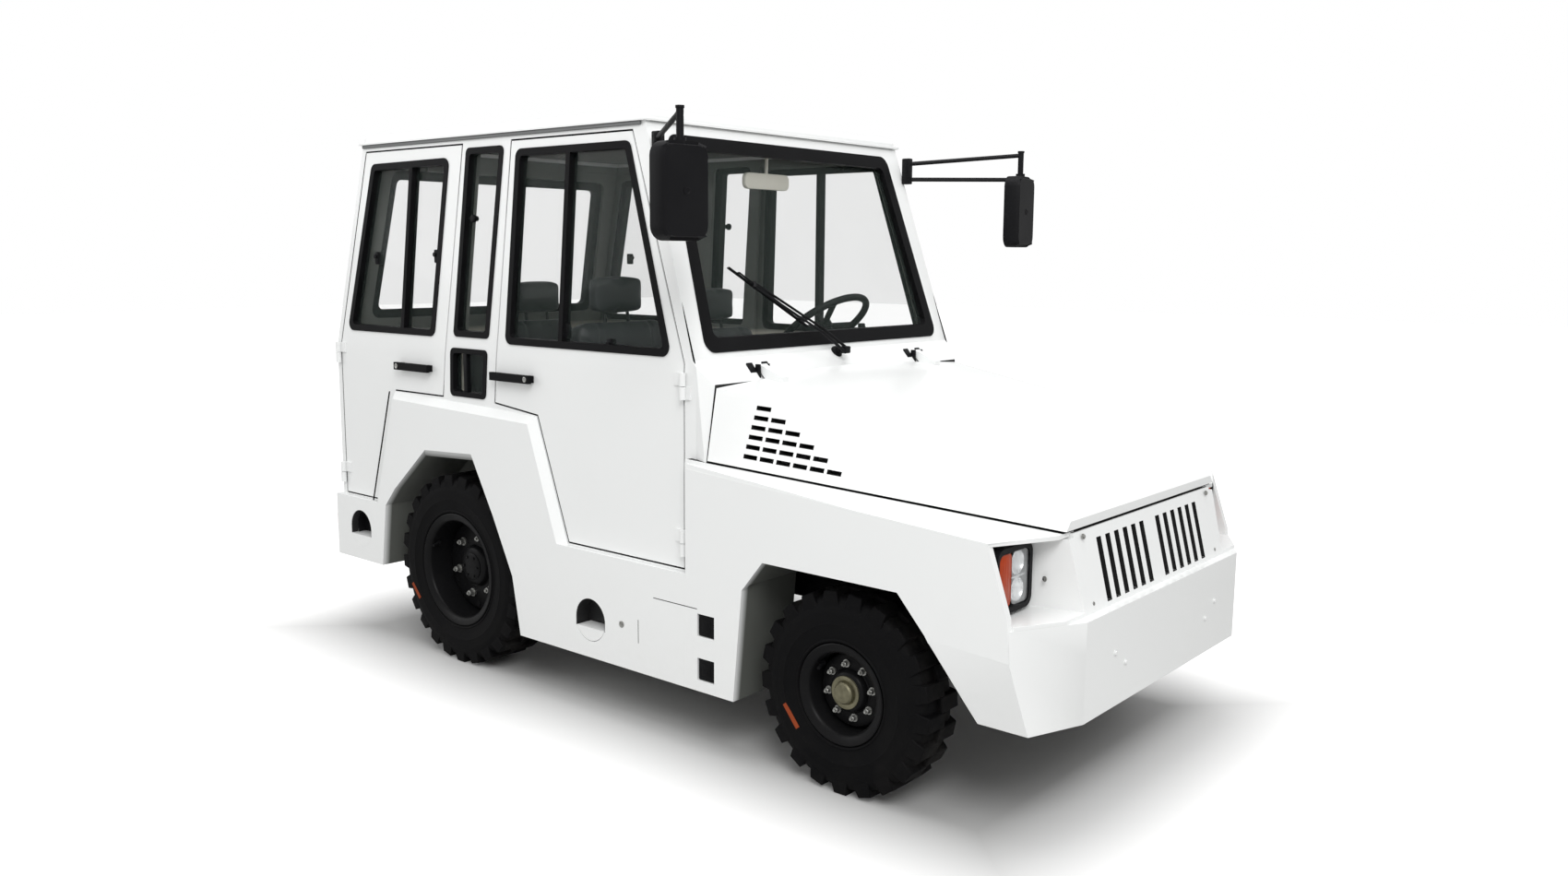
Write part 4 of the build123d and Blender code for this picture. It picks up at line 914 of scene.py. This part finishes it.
def makeMirrors(spec):
    depth, width, height = spec["size"]
    mx, my, mz = spec["place"]
    place = Matrix.Translation(spec["place"]) @ Matrix.Rotation(math.radians(spec["turn"]), 4, "Z")

    def housings(part):
        outline = roundedOutline(-width / 2, width / 2, -height / 2, height / 2, spec["corner"], 7)
        addPrism(part, outline, 0, -depth / 2, depth / 2)
        front = [face for face in part.faces if face.normal.x > 0.9]
        bmesh.ops.inset_region(part, faces=front, thickness=0.014, depth=0.0)
        bevelEdges(part, list({edge for face in front for edge in face.edges}), 0.006, 3)
        for vert in part.verts:
            reach = max(abs(vert.co.y) / (width / 2), abs(vert.co.z) / (height / 2))
            if vert.co.x > 0 and reach > 0.93:
                vert.co.x -= 0.014
        rear = [face for face in part.faces if face.normal.x < -0.9]
        bmesh.ops.inset_region(part, faces=rear, thickness=0.009, depth=0.0)
        hollow = list({vert for face in rear for vert in face.verts})
        bmesh.ops.translate(part, vec=(0.006, 0, 0), verts=hollow)
        addSpin(part, [(0.011, 0.0), (0.011, 0.0015), (0.0085, 0.0022), (0.0070, 0.0008), (0, 0.0008)],
                (depth / 2 - 0.0003, 0.0, 0.0), (1, 0, 0), 24)
        bmesh.ops.transform(part, matrix=place, verts=part.verts)

    def glasses(part):
        across, tall = width / 2 - 0.011, height / 2 - 0.011
        glass = roundedOutline(-across, across, -tall, tall, spec["corner"] - 0.010, 7)
        addPrism(part, glass, 0, -depth / 2 + 0.0030, -depth / 2 + 0.0065, 0.0008, 1)
        bmesh.ops.transform(part, matrix=place, verts=part.verts)

    def arms(part):
        x, y = spec["root"]
        top = spec["stemTop"]
        for low, high in spec["arms"]:
            addRod(part, (x, y, low), (mx, my, high), spec["armRadius"])
            addRod(part, (x - 0.004, y, low - 0.012), (x - 0.004, y, low + 0.012), 0.012)
        for low, high, radius in ((mz + 0.02, top, 0.0105), (top - 0.004, top + 0.003, 0.0125),
                                  (mz + 0.116, mz + 0.142, 0.017)):
            addRod(part, (mx, my, low), (mx, my, high), radius, 20)
        addBlock(part, (x - 0.007, y - 0.007, 1.830), (0.034, 0.026, 0.096), 0.004)
        for z in (1.796, 1.864):
            addBolt(part, (x - 0.014, y + 0.006, z), (0, 1, 0), 0.005, 0.004)

    housing = makePiece("mirror_housings", onSides(housings), "black_plastic")
    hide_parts("mirrors")
    makePiece("mirror_arms", onSides(arms), "black_frame", slot="black_plastic")
    makePiece("mirror_glasses", onSides(glasses), "mirror_glass", slot="clear_lens")


makeMirrors(mirrorPlan)
print("front and side details made")

# Seats: foot of the backrest, middle, top of the cushion and width, in metres
seats = {
    "driver": {"foot": -0.3666, "y": 0.330, "top": 0.825, "width": 0.46, "whole": True},
    "passenger": {"foot": -0.2406, "y": -0.300, "top": 0.878, "width": 0.46, "whole": True},
    "bench": {"foot": -1.0616, "y": 0.0, "top": 0.843, "width": 0.36, "whole": True},
    "bench_left": {"foot": -1.0650, "y": 0.316, "top": 0.838, "width": 0.235, "whole": False},
    "bench_right": {"foot": -1.0650, "y": -0.316, "top": 0.838, "width": 0.235, "whole": False},
}
padding = {
    "lean": 10.0, "length": 0.47, "under": 0.020, "thick": 0.09, "backThick": 0.085, "rise": 0.416,
    "lowRise": 0.320, "headBack": 0.079, "headLift": 0.490, "headSize": (0.070, 0.230, 0.132), "inset": 0.006,
    "voxel": 0.008, "pressure": 4.0, "frames": 20, "cap": 0.012, "grooveDepth": 0.006, "grooveWidth": 0.008,
    "floor": 0.560,
}


def padShape(name, size, matrix, grooveAxis=None):
    # Block with a grid on each side, rounded by smoothing, at its own place
    size = [length - 2 * padding["inset"] for length in size]
    bm = bmesh.new()
    bmesh.ops.create_cube(bm, size=1.0, matrix=Matrix.Diagonal((*size, 1.0)))
    bmesh.ops.subdivide_edges(bm, edges=bm.edges[:], cuts=9, use_grid_fill=True)
    for _ in range(5):
        bmesh.ops.smooth_vert(bm, verts=bm.verts, factor=0.5, use_axis_x=True, use_axis_y=True,
                              use_axis_z=True)
    bmesh.ops.transform(bm, matrix=matrix, verts=bm.verts)
    piece = makePiece(name, bm, "seat_vinyl", smooth=60)
    return {"piece": piece, "matrix": matrix, "size": size, "grooveAxis": grooveAxis}


def makePads(plan):
    pads = []
    for name, seat in seats.items():
        foot, y, top, width, whole = seat.values()
        lean = Matrix.Rotation(math.radians(-plan["lean"]), 4, "Y")
        middle = Matrix.Translation((foot - plan["under"] + plan["length"] / 2, y, top - plan["thick"] / 2))
        cushion = (plan["length"], width, plan["thick"])
        pads.append(padShape(f"cushion_{name}", cushion, middle, 2 if whole else None))
        rise = plan["rise"] if whole else plan["lowRise"]
        back = Matrix.Translation((foot, y, top)) @ lean @ Matrix.Translation((0, 0, rise / 2))
        backrest = (plan["backThick"], width, rise)
        pads.append(padShape(f"backrest_{name}", backrest, back, 0 if whole else None))
        if whole:
            rest = Matrix.Translation((foot - plan["headBack"], y, top + plan["headLift"]))
            pads.append(padShape(f"headrest_{name}", plan["headSize"], rest))
    return pads


def evaluated(piece):
    graph = bpy.context.evaluated_depsgraph_get()
    return bpy.data.meshes.new_from_object(piece.evaluated_get(graph))


def puffPads(pads, plan):
    # Remeshed and blown up a little as cloth, all in one run
    for pad in pads:
        piece = pad["piece"]
        remesh = piece.modifiers.new("remesh", "REMESH")
        remesh.mode = "VOXEL"
        remesh.voxel_size = plan["voxel"]
        bpy.context.view_layer.update()
        mesh = evaluated(piece)
        piece.modifiers.clear()
        piece.data = mesh
        pad["rest"] = [vert.co.copy() for vert in mesh.vertices]
        cloth = piece.modifiers.new("puff", "CLOTH")
        cloth.settings.use_pressure = True
        cloth.settings.uniform_pressure_force = plan["pressure"]
        cloth.settings.effector_weights.gravity = 0.0
        cloth.settings.quality = 4
        cloth.collision_settings.use_collision = False
    for step in range(1, plan["frames"] + 1):
        bpy.context.scene.frame_set(step)
    for pad in pads:
        mesh = evaluated(pad["piece"])
        pad["piece"].modifiers.clear()
        for vert, rest in zip(mesh.vertices, pad["rest"]):
            shift = vert.co - rest
            if shift.length > plan["cap"]:
                vert.co = rest + shift.normalized() * plan["cap"]
        pad["piece"].data = mesh
    bpy.context.scene.frame_set(1)


def sewChannels(pad, plan):
    # Seams parallel to the sides, a little way in, on the face that is sat on or leant on
    axis, size = pad["grooveAxis"], pad["size"]
    if axis is None:
        return
    back = pad["matrix"].inverted()
    down = pad["matrix"].to_3x3() @ Vector([-1.0 if index == axis else 0.0 for index in range(3)])
    length = 0 if axis == 2 else 2
    for vert in pad["piece"].data.vertices:
        local = back @ vert.co
        if local[axis] < 0:
            continue
        near = min(abs(abs(local[1]) - size[1] * 0.27), abs(local[length] - size[length] * 0.05))
        vert.co += down * plan["grooveDepth"] * math.exp(-(near / plan["grooveWidth"]) ** 2)


pads = makePads(padding)
puffPads(pads, padding)
for pad in pads:
    sewChannels(pad, padding)
    pad["piece"].data.shade_smooth()
    finer = pad["piece"].modifiers.new("finer", "SUBSURF")
    finer.levels = finer.render_levels = 1
    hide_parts("seats")
print("seats padded", len(pads))


def makeSeatBases(plan):
    # Pans under the cushions; rails, hinge covers and headrest rods where the seat is whole
    bm = bmesh.new()
    for foot, y, top, width, whole in (seat.values() for seat in seats.values()):
        half, under = width / 2, top - plan["thick"]
        low, high = plan["floor"], under - 0.040
        addBlock(bm, (foot + 0.217, y, under - 0.003), (0.426, width - 0.040, 0.018), 0.005)
        if not whole:
            continue
        addBlock(bm, (foot + 0.200, y, (low + high) / 2), (0.376, width - 0.104, high - low), 0.012)
        for way in (-1, 1):
            rail, rod = y + way * (half - 0.085), y + way * 0.055
            addBlock(bm, (foot + 0.210, rail, under - 0.0275), (0.380, 0.028, 0.035), 0.003, 1)
            if half > 0.2:
                addSpin(bm, [(0.036, -0.012), (0.036, 0.004), (0.030, 0.008), (0, 0.009)],
                        (foot + 0.012, y + way * (half - 0.006), top - 0.030), (0, way, 0), 28)
            addRod(bm, (foot - 0.072, rod, top + 0.385), (foot - 0.082, rod, top + 0.450), 0.006, 12)
    piece = makePiece("seat_bases", bm, "black_plastic")
    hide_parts("seats")


makeSeatBases(padding)

# Driver's place: gauges on the sloping face of the dashboard, pedals, levers and the inside mirror
cockpit = {
    "gaugeFace": (0.243, 1.105), "gaugeSlope": -35.5, "gaugeUp": (-0.581, 0.0, 0.814),
    "gaugeY": (0.235, 0.325), "gaugeRadius": 0.034, "buttonY": (0.385, 0.400),
    "buttonLifts": (-0.016, 0.0, 0.016),
    "pedals": ((0.200, 0.655, 0.034), (0.300, 0.650, 0.040), (0.410, 0.640, 0.026)),
    "stalkRoot": (0.185, 0.300, 1.197), "gearFoot": (0.150, 0.010, 0.560),
    "mirror": (0.176, -0.053, 1.760), "mirrorSize": (0.018, 0.228, 0.054),
}


def makeCockpit(spec):
    plates, dials, rods = (bmesh.new() for _ in range(3))
    up = Vector(spec["gaugeUp"])
    x, z = spec["gaugeFace"]
    addBlock(plates, (x, 0.300, z + 0.001), (0.068, 0.250, 0.010), 0.004)
    pivot = Matrix.Translation((x, 0, z))
    sloped = pivot @ Matrix.Rotation(math.radians(spec["gaugeSlope"]), 4, "Y") @ pivot.inverted()
    bmesh.ops.transform(plates, matrix=sloped, verts=plates.verts)
    size = spec["gaugeRadius"]
    pointing = turnTo(up, (0, 0, 0)) @ Vector((0.6, 0.5, 0)).normalized() * (size - 0.010)
    for y in spec["gaugeY"]:
        face = Vector((x, y, z)) + up * 0.006
        addSpin(plates, [(size, 0.0), (size, 0.005), (size - 0.003, 0.006), (size - 0.0045, 0.002)], face, up,
                36)
        addSpin(dials, [(size - 0.004, 0.0018), (0, 0.0022)], face, up, 36)
        addRod(rods, face + up * 0.0035, face + up * 0.0035 + pointing, 0.0009, 8)
        addRod(rods, face, face + up * 0.0045, 0.0035)
    for y in spec["buttonY"]:
        for lift in spec["buttonLifts"]:
            spot = Vector((x, y, z)) + up * 0.006 + Vector((0.8, 0, 0.58)) * lift
            addRod(plates, spot, spot + up * 0.005, 0.005)
    for y, pedal, half in spec["pedals"]:
        addBlock(plates, (0.335, y, pedal), (0.014, 2 * half, 0.090), 0.005)
        addRod(rods, (0.342, y, pedal + 0.030), (0.385, y, pedal + 0.150), 0.007, 12)
    root = Vector(spec["stalkRoot"])
    for way in (-1, 1):
        grip = root + Vector((0.020, way * 0.115, 0.0175))
        addRod(plates, root, root + Vector((0.020, way * 0.135, 0.020)), 0.0055, 12, 0.0045)
        addRod(plates, grip, root + Vector((0.024, way * 0.160, 0.0235)), 0.0085, 12, 0.0070)
    base = Vector(spec["gearFoot"])
    addSpin(plates, [(0.052, 0.0), (0.050, 0.012), (0.036, 0.030), (0.040, 0.040), (0.024, 0.060),
                     (0.014, 0.078), (0, 0.080)], base, (0, 0, 1), 32)
    addRod(rods, base + Vector((0, 0, 0.06)), base + Vector((-0.035, 0, 0.270)), 0.0075)
    knob = [(0.0, -0.022), (0.014, -0.016), (0.021, 0.0), (0.018, 0.014), (0.008, 0.021), (0, 0.022)]
    addSpin(plates, knob, base + Vector((-0.038, 0, 0.290)), (-0.15, 0, 1), 28)
    makePiece("driver_controls", plates, "black_plastic")
    makePiece("gauge_dials", dials, "grey_plastic", slot="black_plastic")
    makePiece("control_rods", rods, "zinc_steel", slot="grey_casting")


def makeInsideMirror(spec):
    shell, glass = bmesh.new(), bmesh.new()
    x, y, z = spec["mirror"]
    depth, wide, tall = (length / 2 for length in spec["mirrorSize"])
    addPrism(shell, roundedOutline(y - wide, y + wide, z - tall, z + tall, 0.020, 6), 0, x - depth, x + depth,
             0.005, 3)
    addRod(shell, (x, y, z + 0.010), (x + 0.004, y, z + 0.100), 0.006)
    addRod(shell, (x + 0.004, y, z + 0.092), (x + 0.004, y, z + 0.106), 0.018, 20)
    wide, tall = wide - 0.006, tall - 0.006
    addPrism(glass, roundedOutline(y - wide, y + wide, z - tall, z + tall, 0.015, 6), 0, x - depth - 0.0015,
             x - depth + 0.002)
    makePiece("inside_mirror", shell, "pale_plastic", slot="black_plastic")
    makePiece("inside_mirror_glass", glass, "mirror_glass", slot="clear_lens")


makeCockpit(cockpit)
makeInsideMirror(cockpit)

# Doors from inside and their latches: outlines of the trim panels seen from the side
doorTrim = {
    "front": {"outline": [(-0.095, 0.605), (0.362, 0.605), (0.362, 1.165), (-0.455, 1.165), (-0.472, 1.035),
                          (-0.245, 1.010)],
              "pull": (-0.300, 1.060), "lock": (-0.3130, 1.092),
              "latches": ((-0.158, 1.260), (0.060, 1.222))},
    "rear": {"outline": [(-1.452, 0.605), (-1.310, 0.605), (-1.160, 1.040), (-0.865, 1.040), (-0.855, 1.165),
                         (-1.445, 1.165)],
             "pull": (-1.060, 1.085), "lock": (-1.0710, 1.092),
             "latches": ((-1.265, 1.490), (-0.879, 1.499))},
}


def makeDoorTrim(body, spec, side):
    panel, black, barrel = (bmesh.new() for _ in range(3))
    addPrism(panel, spec["outline"], 1, 0.6405, 0.6505)
    flat = [face for face in panel.faces if abs(face.normal.y) > 0.9 and face.calc_center_median().y < 0.645]
    bmesh.ops.inset_region(panel, faces=flat, thickness=0.016, depth=-0.004)
    x, z = spec["pull"]
    addBlock(black, (x, 0.619, z), (0.150, 0.014, 0.024), 0.005)
    for end in (x - 0.060, x + 0.060):
        addBlock(black, (end, 0.631, z), (0.024, 0.022, 0.020), 0.003)
    for x, z in spec["latches"]:
        face = sideY(z, 0.0)
        addBlock(black, (x, face - 0.022, z), (0.022, 0.024, 0.048), 0.004)
        addRod(black, (x, face - 0.012, z + 0.006), (x, face - 0.003, z + 0.006), 0.008, 14)
    x, z = spec["lock"]
    addSpin(barrel, [(0.0095, 0.0), (0.0095, 0.0022), (0.0075, 0.0032), (0.0045, 0.0022), (0, 0.0022)],
            (x, 0.7195, z), (0, 1, 0), 20)
    makePiece(body + "_trim", mirrored(panel, side), "pale_plastic", body, "black_plastic")
    makePiece(body + "_catches", mirrored(black, side), "black_plastic", body)
    makePiece(body + "_barrel", mirrored(barrel, side), "zinc_steel", body, "grey_casting")


for place, spec in doorTrim.items():
    for name, side in sides.items():
        makeDoorTrim(f"door_{place}_{name}", spec, side)

# Flat pieces at the back, lamp bases and reflectors: outline with its corners, rear face and front face
rearPlates = {
    "tail_lamp_bases": ("black_rubber", (0.512, 0.648, 0.432, 0.528, 0.018), -1.534, -1.527),
    "rear_reflectors": ("red_lens", (0.680, 0.716, 0.396, 0.473, 0.008), -1.537, -1.527),
}
for name, (look, outline, back, front) in rearPlates.items():
    plate = onSides(lambda part: addPrism(part, roundedOutline(*outline), 0, back, front, 0.002))
    makePiece(name, plate, look)

# Rubber beads in the door gaps, dark so that they also stand in for the shade in the gaps, with painted shade
# lines at the rear flare's edge and under the roof's edge; outlines of the doors seen from the side, in
# metres
gap = {"middle": 0.0030, "bead": 0.0027, "under": 0.0030, "gutter": (1.9020, 1.9135),
       "flareShadeLine": ((-1.2652, 0.7175, 0.556), (-1.1250, 0.7175, 0.992))}
doorOutlines = [
    [(-0.432, 1.885), (-0.514, 0.998), (-0.283, 0.974), (-0.133, 0.560), (0.446, 0.560), (0.446, 1.186),
     (0.200, 1.885)],
    [(-1.493, 0.560), (-1.269, 0.560), (-1.125, 0.998), (-0.824, 0.998), (-0.711, 1.885), (-1.317, 1.885),
     (-1.493, 1.150)],
]


def gapShadeBeads(part):
    for outline in doorOutlines:
        middle = Vector((sum(x for x, z in outline), sum(z for x, z in outline))) / len(outline)
        for first, last in zip(outline, outline[1:] + outline[:1]):
            out = (Vector(last) - Vector(first)).orthogonal().normalized()
            if out.dot(Vector(first) - middle) < 0:
                out.negate()
            ends = [Vector(end) + out * gap["middle"] for end in (first, last)]
            addRod(part, *[(end.x, sideY(end.y, gap["under"]), end.y) for end in ends], gap["bead"], 8)
    # Painted shade: a dark bead along the rear flare's edge, standing in for the shadow of the gap there
    addRod(part, *gap["flareShadeLine"], gap["bead"], 8)


# Painted shade: grey strips under the roof's edge, standing in for the shadow line beneath it
def gutterShadeStrips(part):
    low, high = gap["gutter"]
    addBox(part, (-1.335, 0.6500, low), (0.196, 0.6630, high), 0.0015, 1)


makePiece("gap_shade_beads", onSides(gapShadeBeads), "black_rubber")
makePiece("gutter_shade_strips", onSides(gutterShadeStrips), "grey_plastic", slot="black_plastic")

# Step scoops: flat floors for all, and black backs for the rear pair that stand in for the shade deep in the
# pocket; middle and floor height of each
scoops = {"middles": ((0.001, 0.2955), (-1.358, 0.4030)), "half": 0.0716, "lift": 0.028, "mouth": 0.7196,
          "back": 0.6602}


def scoopFloors(part):
    half, lift = scoops["half"], scoops["lift"]
    reach = math.acos(lift / half)
    arc = [-reach + 2 * reach * index / 16 for index in range(17)]
    for x, floor in scoops["middles"]:
        points = [(x + half * math.sin(angle), floor + lift - half * math.cos(angle)) for angle in arc]
        addPrism(part, points, 1, scoops["back"], scoops["mouth"])


def scoopShadeBack(part):
    half = scoops["half"]
    x, floor = scoops["middles"][1]
    addSpin(part, [(half + 0.010, 0.0), (half + 0.010, -0.003), (half + 0.001, -0.004), (half, 0.030),
                   (half - 0.002, 0.030), (half - 0.003, -0.001), (0, -0.001)],
            (x, scoops["back"], floor + scoops["lift"]), (0, 1, 0), 40)


def pillarFittings(part):
    # Divider of the low pane and the knob of the pillar window
    addBlock(part, (-0.684, 0.681, 1.090), (0.018, 0.018, 0.140), 0.002)
    addBlock(part, (-0.698, 0.681, 1.090), (0.004, 0.010, 0.140), 0.001, 1)
    knob = [(0.009, -0.014), (0.011, -0.004), (0.014, 0.0), (0.014, 0.006), (0.010, 0.010), (0, 0.011)]
    addSpin(part, knob, (-0.653, 0.6560, 1.631), (0, 1, 0), 24)


makePiece("scoop_floors", onSides(scoopFloors), "white_paint")
makePiece("scoop_shade_backs", onSides(scoopShadeBack), "black_plastic")
makePiece("pillar_fittings", onSides(pillarFittings), "black_plastic")
print("inside, rear and seams made")

# Studio: each lamp by place, power in watts and size; within a box round the middle the floor gets no glow,
# which paints a soft shadow round the tug, and it turns white over a short reach beyond it
studio = {
    "world": 0.74, "floorSize": 60.0, "floorColour": (0.46, 0.46, 0.455), "floorGlow": 0.80,
    "paintedShadowHalf": (1.42, 0.62), "paintedShadowFade": 0.60, "target": (0.0, 0.0, 0.9),
    "lamps": {"top": ((0.4, -0.3, 6.4), 170, 4.4), "key": ((5.5, -5.0, 6.5), 400, 4.0),
              "fill": ((-5.5, -4.5, 3.4), 70, 4.0)},
}


def makeFloor(settings):
    # Emission seen by the camera alone makes the floor white further out; left off near the tug, it leaves a
    # painted shadow there
    paint = Paint("floor", Base_Color=rgb(settings["floorColour"]), Roughness=0.6)
    x, y = paint.axes()[:2]
    apart = (x.size() - settings["paintedShadowHalf"][0]).either(y.size() - settings["paintedShadowHalf"][1])
    glow = paint.ramp(apart, 0.0, settings["paintedShadowFade"])
    paint.feed("Emission Color", paint.mix(glow, rgb((0, 0, 0)), rgb((1, 1, 1))))
    seen = paint.node("ShaderNodeLightPath", out="Is Camera Ray")
    paint.feed("Emission Strength", seen * settings["floorGlow"])
    bm = bmesh.new()
    bmesh.ops.create_grid(bm, x_segments=1, y_segments=1, size=settings["floorSize"] / 2)
    mesh = bpy.data.meshes.new("floor")
    bm.to_mesh(mesh)
    bm.free()
    mesh.materials.append(paint.material)
    link("floor", mesh)


def makeWorld(settings):
    # White as seen and through glass, less bright as a light
    world = bpy.data.worlds.new("studio")
    bpy.context.scene.world = world
    world.use_nodes = True
    tree = world.node_tree
    backdrop = tree.nodes["Background"]
    path = tree.nodes.new("ShaderNodeLightPath")
    both = tree.nodes.new("ShaderNodeMath")
    both.operation = "MAXIMUM"
    level = tree.nodes.new("ShaderNodeMapRange")
    level.inputs[3].default_value = settings["world"]
    level.inputs[4].default_value = 1.0
    backdrop.inputs["Color"].default_value = (1, 1, 1, 1)
    tree.links.new(path.outputs["Is Camera Ray"], both.inputs[0])
    tree.links.new(path.outputs["Is Transmission Ray"], both.inputs[1])
    tree.links.new(both.outputs[0], level.inputs[0])
    tree.links.new(level.outputs[0], backdrop.inputs["Strength"])


def makeLight(name, place, power, size, target):
    data = bpy.data.lights.new(name, "AREA")
    data.shape = "DISK"
    data.energy = power
    data.size = size
    light = link(name, data)
    light.location = place
    light.rotation_euler = (Vector(target) - light.location).to_track_quat("-Z", "Y").to_euler()


makeFloor(studio)
makeWorld(studio)
for name, row in studio["lamps"].items():
    makeLight(name, *row, studio["target"])
bpy.context.scene.view_settings.view_transform = "Standard"
print("stage and lamps ready")

bpy.context.view_layer.update()
